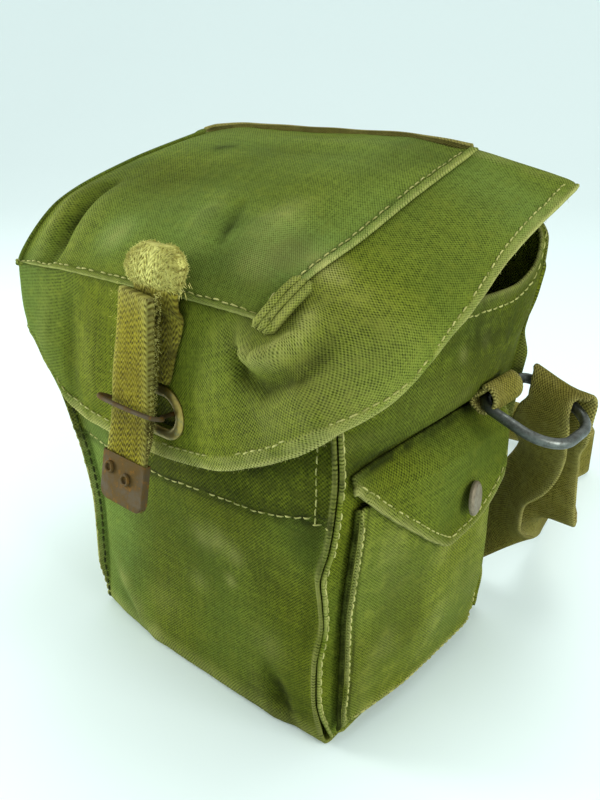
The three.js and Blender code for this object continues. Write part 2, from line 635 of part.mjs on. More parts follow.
function chape(name, sign) {
  const thick = 2;
  const wireX = ringX - ringHalf;
  const wireZ = ringZ - ringSlope * ringHalf;
  const y = (chapeFront + chapeBack) / 2;
  const face = sign > 0 ? rightFace(y, wireZ) : -sideAt(-1, 0.7, wireZ).p.x;
  const foot = face + gap + 0.2 + thick / 2;
  const low = wireZ - ringWire - 0.35 - thick / 2;
  const bend = 5.6;
  const nose = wireX + 1.5;
  const outline = [[foot, low + 5.2], [foot, low + 2.6], [foot + 4, low]];
  for (let k = 0; k <= 8; k += 1) {
    const a = mix(-Math.PI / 2, Math.PI / 2, k / 8);
    outline.push([nose + bend * Math.cos(a), low + bend + bend * Math.sin(a)]);
  }
  outline.push([foot + 5, low + 9.5]);
  const path = outline.map(([x, z]) => v3(sign * x, y, z));
  const frames = leaningFrames(path, path.map(() => v3(0, 1, 0)), true);
  add(name, sweep(path, frames, flatSection(chapeBack - chapeFront, thick), true), khaki);
}

chape('right_chape', 1);
chape('left_chape', -1);

// Sling
const slingPoints = slingRows.map((r) => v3(r.px, r.py, r.pz));
const slingCurve = new THREE.CatmullRomCurve3(slingPoints, false, 'centripetal');
const slingStops = [];
slingRows.slice(1).forEach((_, i) => {
  const far = slingPoints[i + 1].distanceTo(slingPoints[i]);
  const steps = Math.max(2, Math.round(far / 9));
  for (let k = 0; k < steps; k += 1) slingStops.push(i + k / steps);
});
slingStops.push(slingRows.length - 1);
const slingPath = slingStops.map((s) => slingCurve.getPoint(s / (slingRows.length - 1)));
const slingWays = slingStops.map((s) => {
  const i = Math.min(Math.floor(s), slingRows.length - 2);
  const a = slingRows[i];
  const b = slingRows[i + 1];
  return v3(a.wx, a.wy, a.wz).normalize().lerp(v3(b.wx, b.wy, b.wz).normalize(), rise(s - i)).normalize();
});
const slingFrames = leaningFrames(slingPath, slingWays, false);
const slingWides = slingStops.map((s) => {
  const i = Math.min(Math.floor(s), slingRows.length - 2);
  return mix(slingRows[i].wide, slingRows[i + 1].wide, rise(s - i));
});
add('sling', loft(slingPath.map((p, i) => {
  const [w, n] = slingFrames[i];
  return flatSection(slingWides[i], slingThick).map(([a, b]) => (
    p.clone().addScaledVector(w, a).addScaledVector(n, b)
  ));
})), khaki);

// Closing strap: anchor band and pad on the flap front
function skirtFront(x, z) {
  let a = 3;
  let b = 8;
  let share = 0.5;
  for (let k = 0; k < 30; k += 1) {
    const m = (a + b) / 2;
    const top = skirtAt(m, 0);
    const foot = skirtAt(m, 1);
    share = clamp((top.z - z) / (top.z - foot.z), 0, 1);
    if (skirtAt(m, share).x < x) a = m;
    else b = m;
  }
  return skirtAt((a + b) / 2, share).y;
}

const cushion = Array.from({ length: 20 }, (_, k) => {
  const a = (k / 20) * Math.PI * 2;
  const bend = (v) => Math.sign(v) * Math.abs(v) ** 0.55;
  return [bend(Math.cos(a)) / 2, bend(Math.sin(a)) / 2];
});
const anchorRings = anchorRows.map((r) => cushion.map(([a, b]) => {
  const x = r.x + a * r.wide;
  const y = r.y || skirtFront(x, r.z) - gap - r.thick / 2;
  return v3(x, y + b * r.thick, r.z);
}));
add('strap_anchor', loft(anchorRings), tan);

// Tongue and its steel tip with two hollow rivets
const tongue = columns(tongueRows);

function tongueFrame(at) {
  const here = tongue(at);
  const a = tongue(at - 0.02);
  const b = tongue(at + 0.02);
  const down = v3(0, b.y - a.y, b.z - a.z).normalize();
  const out = v3(1, 0, 0).cross(down).multiplyScalar(-1).normalize();
  return { p: v3(here.x, here.y, here.z), down, out };
}

const tongueStops = [0, 0.08, 0.16, 0.25, 0.35, 0.45, 0.55, 0.65, 0.75, 0.85, 0.93, 1];
const tongueGrid = tongueStops.map((at) => [-0.5, -0.2, 0.2, 0.5].map((u) => {
  const f = tongueFrame(at);
  return f.p.clone().add(v3(u * strapWide, 0, 0));
}));
add('closing_strap', wall(tongueGrid, tongueThick, -1), tan);

const tipSlack = 0.35;
const tipRow = (at, deep, beyond, share) => [-0.5, -0.42, -0.2, 0.2, 0.42, 0.5].map((u) => {
  const f = tongueFrame(at);
  const p = f.p.clone().addScaledVector(f.out, -deep).addScaledVector(f.down, beyond);
  return p.add(v3(u * (strapWide + 1) * share, 0, 0));
});
const frontFace = -tipSlack - tipSheet;
const backFace = tongueThick + tipSlack + tipSheet;
const tipRows = [
  tipRow(tipStart, frontFace, 0, 1),
  tipRow(0.88, frontFace, 0, 1),
  tipRow(1, frontFace, 0, 1),
  tipRow(1, frontFace, 2, 0.94),
  tipRow(1, mix(frontFace, backFace, 0.25), 3.4, 0.85),
  tipRow(1, mix(frontFace, backFace, 0.75), 3.4, 0.85),
  tipRow(1, backFace, 2, 0.94),
  tipRow(1, backFace, 0, 1),
  tipRow(0.88, backFace, 0, 1),
  tipRow(tipStart, backFace, 0, 1),
];
add('strap_tip', wall(tipRows, tipSheet, -1), rust);

function rivet(name, at, offset) {
  const f = tongueFrame(at);
  const profile = [[1.1, 0], [2.3, 0], [2.3, 0.4], [1.7, 0.8], [1.1, 0.5], [1.1, 0]];
  const geometry = new THREE.LatheGeometry(profile.map(([r, h]) => new THREE.Vector2(r, h)), 20);
  geometry.applyQuaternion(new THREE.Quaternion().setFromUnitVectors(v3(0, 1, 0), f.out));
  const p = f.p.clone().addScaledVector(f.out, tipSlack + tipSheet + 0.15);
  geometry.translate(p.x + offset, p.y, p.z);
  add(name, geometry, rust);
}

rivet('tip_rivet_left', 0.83, -7);
rivet('tip_rivet_right', 0.86, 2);

// Oblong eyelet, cut through the flap front, and the staple
const eyeletY = skirtFront(eyelet.x, eyelet.z) - gap - eyelet.thick / 2;
const eyeletPath = oblong(eyelet.halfLong - eyelet.band / 2, eyelet.halfTall - eyelet.band / 2, 28)
  .map(([x, z]) => [eyelet.x + x, eyelet.z + z])
  .map(([x, z]) => v3(x, skirtFront(x, z) - gap - eyelet.thick / 2, z));
const eyeletFrames = leaningFrames(eyeletPath, eyeletPath.map(() => v3(0, 1, 0)), true);
const eyeletSection = roundSection(eyelet.thick / 2, eyelet.band / 2, 10);
add('flap_eyelet', sweep(eyeletPath, eyeletFrames, eyeletSection, true), brass);

const stapleFoot = -76.4;
const staplePoints = [
  [staple.right, stapleFoot, staple.z],
  [staple.right, eyeletY, staple.z + 0.5],
  [staple.barRight - 1, staple.barY + 4, staple.barZ - 1.5],
  [staple.barRight, staple.barY + 1.5, staple.barZ - 0.3],
  [staple.barRight - 2, staple.barY, staple.barZ],
  [staple.barLeft + 2, staple.barY, staple.barZ],
  [staple.barLeft, staple.barY + 1.5, staple.barZ - 0.3],
  [staple.barLeft, staple.barY + 4, staple.barZ - 1.5],
  [staple.left, eyeletY, staple.z + 0.5],
  [staple.left, stapleFoot, staple.z],
].map(([x, y, z]) => v3(x, y, z));
const staplePath = new THREE.CatmullRomCurve3(staplePoints, false, 'centripetal').getPoints(45);
const stapleFrames = leaningFrames(staplePath, staplePath.map(() => v3(0, 0.3, 1)), false);
add('wire_staple', sweep(staplePath, stapleFrames, roundSection(stapleWire, stapleWire, 8), false), rust);

export default group;
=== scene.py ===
import math

import bpy
import numpy as np
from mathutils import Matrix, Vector
from mathutils.bvhtree import BVHTree


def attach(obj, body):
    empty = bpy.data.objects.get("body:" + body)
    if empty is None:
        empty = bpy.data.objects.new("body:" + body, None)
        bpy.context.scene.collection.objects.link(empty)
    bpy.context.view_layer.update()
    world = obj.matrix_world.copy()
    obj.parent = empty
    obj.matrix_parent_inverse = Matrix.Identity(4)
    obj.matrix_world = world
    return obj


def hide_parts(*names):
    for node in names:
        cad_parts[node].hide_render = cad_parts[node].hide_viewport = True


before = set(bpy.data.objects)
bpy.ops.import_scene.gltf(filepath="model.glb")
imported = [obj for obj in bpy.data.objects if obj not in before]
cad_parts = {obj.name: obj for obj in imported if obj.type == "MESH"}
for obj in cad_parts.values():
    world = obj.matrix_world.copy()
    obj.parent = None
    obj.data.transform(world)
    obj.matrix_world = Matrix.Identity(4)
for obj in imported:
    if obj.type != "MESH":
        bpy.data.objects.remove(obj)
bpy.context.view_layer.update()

scene = bpy.context.scene
mm = 0.001
dice = np.random.default_rng(11)
panels = {}  # outer faces of the cloth pieces, in millimetres
print("frame loaded")


# small helpers

def table(names, *rows):
    keys = names.split()
    return [dict(zip(keys, row)) for row in rows]


def rise(t):
    t = np.clip(t, 0, 1)
    return t * t * (3 - 2 * t)


def mix(a, b, t):
    return a + (b - a) * t


def dome(u, power):
    return 1 - np.abs(2 * u - 1) ** power


def vec(x, y, z):
    return np.stack(np.broadcast_arrays(x, y, z), -1).astype(float)


def unit(v):
    return v / np.maximum(np.linalg.norm(v, axis=-1, keepdims=True), 1e-9)


def curveOf(rows, key):  # smooth run through one column, never past its neighbours
    xs = np.array([r["at"] for r in rows], float)
    ys = np.array([r[key] for r in rows], float)
    step = np.diff(xs)
    slope = np.diff(ys) / step
    a, b = slope[:-1], slope[1:]
    same = a * b > 0
    lean = np.concatenate([slope[:1], np.where(same, 2 * a * b / np.where(same, a + b, 1), 0), slope[-1:]])

    def run(at):
        q = np.clip(at, xs[0], xs[-1])
        i = np.clip(np.searchsorted(xs, q, side="left") - 1, 0, len(xs) - 2)
        s = (q - xs[i]) / step[i]
        near = (1 + 2 * s) * (1 - s) ** 2 * ys[i] + s * (1 - s) ** 2 * step[i] * lean[i]
        return near + s * s * (3 - 2 * s) * ys[i + 1] + s * s * (s - 1) * step[i] * lean[i + 1]
    return run


def columnsOf(rows):
    return {k: curveOf(rows, k) for k in rows[0] if k != "at"}


def noiseAt(points, size, seed):  # smooth lumps between about -1 and 1
    p = np.asarray(points, float) / size + seed * 19.7
    cell = np.floor(p).astype(np.int64)
    f = p - cell
    f = f * f * (3 - 2 * f)
    total = 0
    for k in range(8):
        d = np.array([k & 1, k >> 1 & 1, k >> 2])
        c = cell + d
        h = c[..., 0] * 73856093 ^ c[..., 1] * 19349663 ^ c[..., 2] * 83492791
        h = (h ^ (h >> 13)) * 1274126177
        value = ((h ^ (h >> 16)) & 65535) / 32767.5 - 1
        total = total + value * np.prod(np.where(d == 1, f, 1 - f), -1)
    return total


def normalsOf(rows, side):
    return unit(np.cross(np.gradient(rows, axis=1), np.gradient(rows, axis=0)) * side)


def pressFolds(rows, side, folds):  # grooves (deep below 0) and ridges along short lines
    n = normalsOf(rows, side)
    push = np.zeros(rows.shape[:2])
    for f in folds:
        a = np.array([f["ax"], f["ay"], f["az"]], float)
        b = np.array([f["bx"], f["by"], f["bz"]], float)
        run = b - a
        t = np.clip(((rows - a) @ run) / max(run @ run, 1e-6), 0, 1)
        gap = rows - (a + t[..., None] * run)
        off = np.clip((gap * n).sum(-1), -9, 9)  # a line a little off the sheet still counts
        far = np.linalg.norm(gap - n * off[..., None], axis=-1)
        fade = 0.35 + 0.65 * np.sin(np.pi * np.clip(t, 0.08, 0.92)) if run @ run > 1 else 1
        push += f["deep"] * fade * np.exp(-(far / f["wide"]) ** 2)
    return rows + n * push[..., None], push


def foldMarks(wear, dirtAndShade, fade, press):  # painted shade lies in the grooves, ridges are rubbed
    wear = wear + 0.07 * np.clip(press, 0, 4)
    dirtAndShade = dirtAndShade + 0.17 * np.clip(-press, 0, 4)
    return {"wear": np.clip(wear, 0, 1), "dirtAndShade": np.clip(dirtAndShade, 0, 0.95), "fade": fade}


def spotsOn(points, spots):
    total = np.zeros(points.shape[:-1])
    for s in spots:
        far = np.linalg.norm(points - np.array([s["x"], s["y"], s["z"]]), axis=-1)
        total += s["much"] * np.exp(-(far / s["size"]) ** 2)
    return total


def meshFrom(name, points, faces, look, uv=None, marks=None):
    points = np.asarray(points, float)
    faces = np.asarray(faces)
    tri = points[faces]
    volume = np.einsum("ij,ij->", tri[:, 0], np.cross(tri[:, 1], tri[:, 2]))
    if faces.shape[1] == 4:
        volume += np.einsum("ij,ij->", tri[:, 0], np.cross(tri[:, 2], tri[:, 3]))
    if volume < 0:
        faces = faces[:, ::-1]
    mesh = bpy.data.meshes.new(name)
    mesh.from_pydata((points * mm).tolist(), [], faces.tolist())
    mesh.polygons.foreach_set("use_smooth", np.ones(len(mesh.polygons), bool))
    if uv is not None:
        layer = mesh.uv_layers.new(name="cloth")
        index = np.empty(len(mesh.loops), np.int32)
        mesh.loops.foreach_get("vertex_index", index)
        layer.data.foreach_set("uv", (np.asarray(uv)[index] * mm).astype(np.float32).ravel())
    for key, values in (marks or {}).items():
        layer = mesh.attributes.new(key, "FLOAT", "POINT")
        layer.data.foreach_set("value", np.asarray(values, np.float32).ravel())
    mesh.update()
    piece = bpy.data.objects.new(name, mesh)
    scene.collection.objects.link(piece)
    mesh.materials.append(look)
    return piece


def clothShell(name, rows, thick, side, look, uv, marks):  # closed sheet of cloth with a round rim
    tall, wide = rows.shape[:2]
    n = normalsOf(rows, side)
    inner = rows - n * np.broadcast_to(np.asarray(thick, float), (tall, wide))[..., None]
    away = np.zeros_like(rows)
    away[0] += unit(rows[0] - rows[1])
    away[-1] += unit(rows[-1] - rows[-2])
    away[:, 0] += unit(rows[:, 0] - rows[:, 1])
    away[:, -1] += unit(rows[:, -1] - rows[:, -2])
    grid = np.arange(tall * wide).reshape(tall, wide)
    loop = np.concatenate([grid[0, :-1], grid[:-1, -1], grid[-1, :0:-1], grid[:0:-1, 0]])
    flat = rows.reshape(-1, 3)
    flatIn = inner.reshape(-1, 3)
    half = np.linalg.norm(flat - flatIn, axis=1)[loop, None] / 2
    rim = (flat[loop] + flatIn[loop]) / 2 + unit(away.reshape(-1, 3)[loop]) * half * 0.7
    count = tall * wide
    a = grid[:-1, :-1].ravel()
    quads = np.stack([a, a + 1, a + wide + 1, a + wide], 1)
    back = np.stack([a, a + wide, a + wide + 1, a + 1], 1) + count
    rimAt = 2 * count + np.arange(len(loop))
    nextLoop, nextRim = np.roll(loop, -1), np.roll(rimAt, -1)
    rimOut = np.stack([nextLoop, loop, rimAt, nextRim], 1)
    rimIn = np.stack([nextRim, rimAt, loop + count, nextLoop + count], 1)
    spread = {k: np.broadcast_to(v, (tall, wide)).ravel() for k, v in marks.items()}
    allMarks = {k: np.concatenate([v, v * 0.4, v[loop]]) for k, v in spread.items()}
    flatUv = np.asarray(uv).reshape(-1, 2)
    piece = meshFrom(name, np.concatenate([flat, flatIn, rim]),
                     np.concatenate([quads, back, rimOut, rimIn]), look,
                     np.concatenate([flatUv, flatUv, flatUv[loop]]), allMarks)
    panels[name] = rows
    return piece


def strapMesh(name, path, wide, thick, look, across, ends=0.6, marks=None):  # webbing along a line
    path = np.asarray(path, float)
    tangent = unit(np.gradient(path, axis=0))
    w = unit(across - (across * tangent).sum(-1, keepdims=True) * tangent)
    n = np.cross(tangent, w)
    along = np.concatenate([[0], np.cumsum(np.linalg.norm(np.diff(path, axis=0), axis=1))])
    flatRun = np.linspace(-1, 1, 11)
    edge = thick / float(np.max(wide))
    section = [(s * (1 - edge), 1) for s in flatRun] + [(1 - 0.3 * edge, 0.6), (1, 0)]
    section += [(1 - 0.3 * edge, -0.6)] + [(s * (1 - edge), -1) for s in flatRun[::-1]]
    section += [(-1 + 0.3 * edge, -0.6), (-1, 0), (-1 + 0.3 * edge, 0.6)]
    section = np.array(section)
    wideAt = np.broadcast_to(np.asarray(wide, float), len(path)).copy()
    thickAt = np.broadcast_to(np.asarray(thick, float), len(path)).copy()
    thickAt[[0, -1]] *= ends
    points = (path[:, None] + w[:, None] * (section[None, :, :1] * wideAt[:, None, None] / 2)
              + n[:, None] * (section[None, :, 1:] * thickAt[:, None, None] / 2))
    count, ring = points.shape[:2]
    i, k = np.meshgrid(np.arange(count - 1), np.arange(ring), indexing="ij")
    l = (k + 1) % ring
    quads = np.stack([i * ring + k, (i + 1) * ring + k, (i + 1) * ring + l, i * ring + l], -1).reshape(-1, 4)
    caps = []
    for base, turn in ((0, 1), ((count - 1) * ring, -1)):
        top, low = np.arange(11), np.arange(24, 13, -1)  # facing runs of the section
        for q in range(10):
            caps.append([base + top[q], base + top[q + 1], base + low[q + 1], base + low[q]][::turn])
        caps.append([base + 10, base + 11, base + 13, base + 14][::turn])
        caps.append([base + 11, base + 12, base + 13, base + 13][::turn][:4])
        caps.append([base + 24, base + 25, base + 27, base + 0][::turn])
        caps.append([base + 25, base + 26, base + 27, base + 27][::turn][:4])
    uv = np.stack([np.broadcast_to(section[:, 0] * wideAt.max() / 2, (count, ring)),
                   np.broadcast_to(along[:, None], (count, ring))], -1).reshape(-1, 2)
    tri = [c for c in caps if len(set(c)) == 3]
    square = [c for c in caps if len(set(c)) == 4]
    edge = np.abs(section[:, 0]) ** 6
    marks = {k: np.broadcast_to(v, (count, ring)).ravel() for k, v in (marks or {}).items()}
    marks["wear"] = marks.get("wear", 0) + np.broadcast_to(edge * 0.5, (count, ring)).ravel()
    marks.setdefault("dirtAndShade", np.zeros(count * ring))
    piece = meshFrom(name, points.reshape(-1, 3), np.concatenate([quads, np.array(square)]), look, uv, marks)
    closeEnds(piece)
    return piece


def closeEnds(piece):  # fills the two tiny corner gaps left at each end
    onlyThis(piece)
    bpy.ops.object.mode_set(mode="EDIT")
    bpy.ops.mesh.select_all(action="SELECT")
    bpy.ops.mesh.fill_holes(sides=0)
    bpy.ops.mesh.normals_make_consistent(inside=False)
    bpy.ops.object.mode_set(mode="OBJECT")


def onlyThis(piece):
    if bpy.context.mode != "OBJECT":
        bpy.ops.object.mode_set(mode="OBJECT")
    bpy.ops.object.select_all(action="DESELECT")
    bpy.context.view_layer.objects.active = piece
    piece.select_set(True)


def surfaceOf(piece):
    return BVHTree.FromPolygons([v.co for v in piece.data.vertices],
                                [p.vertices for p in piece.data.polygons])


def resample(line, pitch):
    line = np.asarray(line, float)
    run = np.concatenate([[0], np.cumsum(np.linalg.norm(np.diff(line, axis=0), axis=1))])
    count = max(2, int(run[-1] / pitch))
    at = np.linspace(0, run[-1], count + 1)
    return np.stack([np.interp(at, run, line[:, k]) for k in range(3)], 1)


threadSize = {"pitch": 4.1, "cover": 0.82, "radius": 0.34, "lift": 0.18}


def sewLines(name, piece, lines, look, pitch=None, radius=None):  # one short bead of thread for each stitch
    pitch = pitch or threadSize["pitch"]
    radius = radius or threadSize["radius"]
    tree = surfaceOf(piece)
    points, quads = [], []
    ring = np.arange(6) / 6 * 2 * math.pi
    for line in lines:
        spots = resample(line, pitch)
        for a, b in zip(spots, spots[1:]):
            if dice.random() < 0.04:
                continue
            side = dice.normal(0, 0.12, 3)
            gap = (1 - threadSize["cover"]) / 2
            ends = [mix(a, b, t) + side for t in (gap, mix(gap, 0.5, 0.5), mix(1 - gap, 0.5, 0.5), 1 - gap)]
            found = [tree.find_nearest(Vector(e * mm)) for e in ends]
            if any(f[0] is None for f in found):
                continue
            lift = threadSize["lift"]
            base = np.array([np.array(f[0]) / mm + np.array(f[1]) * h
                             for f, h in zip(found, (-0.25, lift, lift, -0.25))])
            up = unit(np.array(found[1][1]))
            along = unit(base[3] - base[0])
            across = np.cross(up, along)
            start = len(points)
            for p, r in zip(base, (0.55, 1, 1, 0.55)):
                points.extend(p + radius * r * (across * math.cos(q) + np.cross(along, across) * math.sin(q))
                              for q in ring)
            for i in range(3):
                for k in range(6):
                    l = (k + 1) % 6
                    low, high = start + i * 6, start + i * 6 + 6
                    quads.append([low + k, low + l, high + l, high + k])
            for e, turn in ((0, -1), (18, 1)):
                quads.append([start + e + k for k in (0, 1, 2, 3)][::turn])
                quads.append([start + e + k for k in (0, 3, 4, 5)][::turn])
    return meshFrom(name, points, quads, look)


def fuzzOn(name, roots, ways, reach, look, radius=0.11):  # loose fibres, three-sided and tapered
    points, faces = [], []
    for root, way in zip(roots, ways):
        long = reach * (0.4 + 0.9 * dice.random())
        bend = dice.normal(0, 0.5, 3)
        start = len(points)
        side = unit(np.cross(way, dice.normal(0, 1, 3)))
        other = np.cross(unit(way), side)
        for t, r in ((0, 1), (0.5, 0.8), (1, 0.35)):
            p = root + way * long * t + bend * long * t * t * 0.7
            for q in (0, 2.094, 4.189):
                points.append(p + radius * r * (side * math.cos(q) + other * math.sin(q)))
        for i in (0, 3):
            for k in range(3):
                l = (k + 1) % 3
                faces.append([start + i + k, start + i + l, start + i + 3 + l, start + i + 3 + k])
    piece = meshFrom(name, points, faces, look)
    closeEnds(piece)
    return piece


# node helpers

def put(tree, kind, sockets=None, **props):
    node = tree.nodes.new(kind)
    for key, value in props.items():
        setattr(node, key, value)
    for key, value in (sockets or {}).items():
        if isinstance(value, bpy.types.NodeSocket):
            tree.links.new(value, node.inputs[key])
        else:
            node.inputs[key].default_value = value
    return node


def calc(tree, kind, *values):
    return put(tree, "ShaderNodeMath", dict(enumerate(values)), operation=kind).outputs[0]


def blendColour(tree, share, a, b, kind="MIX"):
    node = put(tree, "ShaderNodeMix", data_type="RGBA", blend_type=kind)
    for key, value in ((0, share), (6, a), (7, b)):
        if isinstance(value, bpy.types.NodeSocket):
            tree.links.new(value, node.inputs[key])
        else:
            node.inputs[key].default_value = value
    return node.outputs[2]


def span(tree, value, low, high, toLow=0.0, toHigh=1.0):
    sockets = {"Value": value, "From Min": low, "From Max": high, "To Min": toLow, "To Max": toHigh}
    return put(tree, "ShaderNodeMapRange", sockets, interpolation_type="SMOOTHSTEP").outputs["Result"]


def lumps(tree, where, scale, detail=3.0, rough=0.55):
    return put(tree, "ShaderNodeTexNoise",
               {"Vector": where, "Scale": scale, "Detail": detail, "Roughness": rough}).outputs


def newLook(name):
    look = bpy.data.materials.new(name)
    look.use_nodes = True
    tree = look.node_tree
    shader = tree.nodes["Principled BSDF"]
    return look, tree, shader


def rgb(r, g, b):
    return (r, g, b, 1.0)


def markOf(tree, name):
    return put(tree, "ShaderNodeAttribute", attribute_name=name).outputs["Fac"]


def wovenLook(name, c):  # canvas and webbing: crossing threads on the cloth's own map
    look, tree, shader = newLook(name)
    uv = put(tree, "ShaderNodeUVMap", uv_map="cloth").outputs["UV"]
    place = put(tree, "ShaderNodeTexCoord").outputs["Object"]
    sway = put(tree, "ShaderNodeVectorMath", {0: lumps(tree, place, 140, 2)["Color"], 1: (0.5, 0.5, 0.5)},
               operation="SUBTRACT").outputs[0]
    moved = put(tree, "ShaderNodeVectorMath", {0: sway, 1: (c["sway"],) * 3, 2: uv},
                operation="MULTIPLY_ADD").outputs[0]
    split = put(tree, "ShaderNodeSeparateXYZ", {0: moved}).outputs
    x = calc(tree, "MULTIPLY", split[0], math.pi / (c["pitchX"] * mm))
    y = calc(tree, "MULTIPLY", split[1], math.pi / (c["pitchY"] * mm))
    if c.get("zigzag"):
        y = calc(tree, "ADD", y, calc(tree, "PINGPONG", x, c["zigzag"]))
    cross = calc(tree, "MULTIPLY", calc(tree, "SINE", x), calc(tree, "SINE", y))
    top = calc(tree, "MULTIPLY_ADD", cross, 0.5, 0.5)  # 1 on a thread's crown, 0 in the gap
    warp = put(tree, "ShaderNodeTexWhiteNoise", {"W": calc(tree, "FLOOR", calc(tree, "DIVIDE", x, math.pi))},
               noise_dimensions="1D").outputs["Value"]
    weft = put(tree, "ShaderNodeTexWhiteNoise", {"W": calc(tree, "FLOOR", calc(tree, "DIVIDE", y, math.pi))},
               noise_dimensions="1D").outputs["Value"]
    strands = calc(tree, "MULTIPLY_ADD", calc(tree, "ADD", warp, weft), 0.5, 0)
    cell = put(tree, "ShaderNodeCombineXYZ", {0: calc(tree, "FLOOR", calc(tree, "DIVIDE", x, math.pi)),
                                              1: calc(tree, "FLOOR",
                                                      calc(tree, "DIVIDE", y, math.pi))}).outputs[0]
    speck = put(tree, "ShaderNodeTexWhiteNoise", {"Vector": cell}, noise_dimensions="2D").outputs["Value"]
    wide = lumps(tree, place, 22, 4)["Fac"]
    small = lumps(tree, place, 160, 4, 0.65)["Fac"]
    fine = lumps(tree, place, 1100, 2)["Fac"]
    wear = markOf(tree, "wear")
    dirtAndShade = markOf(tree, "dirtAndShade")
    depth = calc(tree, "MULTIPLY_ADD", strands, 0.2, calc(tree, "MULTIPLY", top, 0.6))
    depth = calc(tree, "MULTIPLY_ADD", speck, 0.28, calc(tree, "SUBTRACT", depth, 0.04))
    for way in ((1, 0.05, 1), (0.05, 1, 1)):  # thick and thin runs of yarn
        pulled = put(tree, "ShaderNodeVectorMath", {0: uv, 1: way}, operation="MULTIPLY").outputs[0]
        depth = calc(tree, "MULTIPLY_ADD", lumps(tree, pulled, 900, 3)["Fac"], 0.2,
                     calc(tree, "SUBTRACT", depth, 0.08))
    colour = blendColour(tree, span(tree, depth, 0.1, 0.9), c["gap"], c["crown"])
    colour = blendColour(tree, span(tree, wide, 0.42, 0.68, 0, 0.6), colour, c["patch"])
    colour = blendColour(tree, span(tree, small, 0.5, 0.72, 0, 0.5), colour, c["patch2"])
    # the fade mark pales the cloth towards this colour: faded cloth, and painted light on the left of the
    # front and of the flap skirt
    if c.get("fadedAndLit"):
        pale = calc(tree, "MULTIPLY", markOf(tree, "fade"), span(tree, depth, 0.2, 0.8, 0.35, 1.0))
        colour = blendColour(tree, pale, colour, c["fadedAndLit"])
    rub = calc(tree, "MULTIPLY", wear,
               span(tree, calc(tree, "ADD", calc(tree, "MULTIPLY", top, 0.6), small), 0.35, 0.95))
    colour = blendColour(tree, calc(tree, "MINIMUM", rub, 0.92), colour, c["worn"])
    # the dark mark blends towards this colour: real dirt, and painted shade in grooves, under parts and on
    # shaded sides
    grimeAndShade = calc(tree, "MULTIPLY", dirtAndShade, span(tree, small, 0.3, 0.65, 0.55, 1.0))
    colour = blendColour(tree, calc(tree, "MINIMUM", grimeAndShade, 0.95), colour, c["grimeAndShade"])
    tree.links.new(colour, shader.inputs["Base Color"])
    tree.links.new(span(tree, fine, 0.3, 0.7, c["rough"] - 0.1, c["rough"]), shader.inputs["Roughness"])
    shader.inputs["Sheen Weight"].default_value = c["sheen"]
    shader.inputs["Sheen Roughness"].default_value = 0.5
    shader.inputs["Sheen Tint"].default_value = c["worn"]
    shader.inputs["Specular IOR Level"].default_value = 0.06
    height = calc(tree, "MULTIPLY_ADD", fine, c["grit"], calc(tree, "MULTIPLY_ADD", strands, 0.3, top))
    bump = put(tree, "ShaderNodeBump",
               {"Strength": c["relief"], "Distance": c["deep"] * mm, "Height": height}).outputs[0]
    tree.links.new(bump, shader.inputs["Normal"])
    return look


oliveCanvas = wovenLook("oliveCanvas", {
    "pitchX": 0.7, "pitchY": 0.7, "sway": 0.0006, "gap": rgb(0.022, 0.031, 0.002),
    "crown": rgb(0.168, 0.202, 0.011),
    "patch": rgb(0.056, 0.08, 0.004), "patch2": rgb(0.185, 0.208, 0.016), "fadedAndLit": rgb(0.135, 0.217, 0.045),
    "worn": rgb(0.4, 0.4, 0.13), "grimeAndShade": rgb(0.012, 0.017, 0.001), "rough": 0.95, "sheen": 0.02,
    "grit": 0.35, "relief": 0.8, "deep": 0.3})
khakiWebbing = wovenLook("khakiWebbing", {
    "pitchX": 0.85, "pitchY": 0.7, "sway": 0.0004, "gap": rgb(0.05, 0.045, 0.006),
    "crown": rgb(0.225, 0.2, 0.035),
    "patch": rgb(0.1, 0.085, 0.015), "patch2": rgb(0.2, 0.18, 0.045), "worn": rgb(0.4, 0.36, 0.13),
    "grimeAndShade": rgb(0.022, 0.017, 0.004), "rough": 0.97, "sheen": 0.06, "grit": 0.5, "relief": 0.9, "deep": 0.45})
yellowWebbing = wovenLook("yellowWebbing", {
    "pitchX": 1.45, "pitchY": 1.15, "zigzag": 2 * math.pi, "sway": 0.001, "gap": rgb(0.045, 0.034, 0.003),
    "crown": rgb(0.26, 0.225, 0.012), "patch": rgb(0.12, 0.095, 0.006), "patch2": rgb(0.24, 0.21, 0.016),
    "worn": rgb(0.66, 0.65, 0.2), "grimeAndShade": rgb(0.035, 0.026, 0.005), "rough": 0.97, "sheen": 0.1,
    "grit": 0.8, "relief": 1.0, "deep": 0.6})


def threadLook(name, light, dark):
    look, tree, shader = newLook(name)
    place = put(tree, "ShaderNodeTexCoord").outputs["Object"]
    small = lumps(tree, place, 260, 3)["Fac"]
    fine = lumps(tree, place, 2600, 2)["Fac"]
    tree.links.new(blendColour(tree, span(tree, small, 0.35, 0.68), light, dark), shader.inputs["Base Color"])
    tree.links.new(span(tree, fine, 0.3, 0.7, 0.8, 0.95), shader.inputs["Roughness"])
    bump = put(tree, "ShaderNodeBump", {"Strength": 0.6, "Distance": 0.0002, "Height": fine}).outputs[0]
    tree.links.new(bump, shader.inputs["Normal"])
    shader.inputs["Specular IOR Level"].default_value = 0.2
    return look


paleThread = threadLook("paleThread", rgb(0.42, 0.41, 0.14), rgb(0.2, 0.21, 0.05))
# thread painted dark as shade, for the stitches along the shaded left flange
paintedShadeThread = threadLook("paintedShadeThread", rgb(0.05, 0.065, 0.008), rgb(0.02, 0.028, 0.004))
frayThread = threadLook("frayThread", rgb(0.6, 0.58, 0.17), rgb(0.36, 0.33, 0.07))


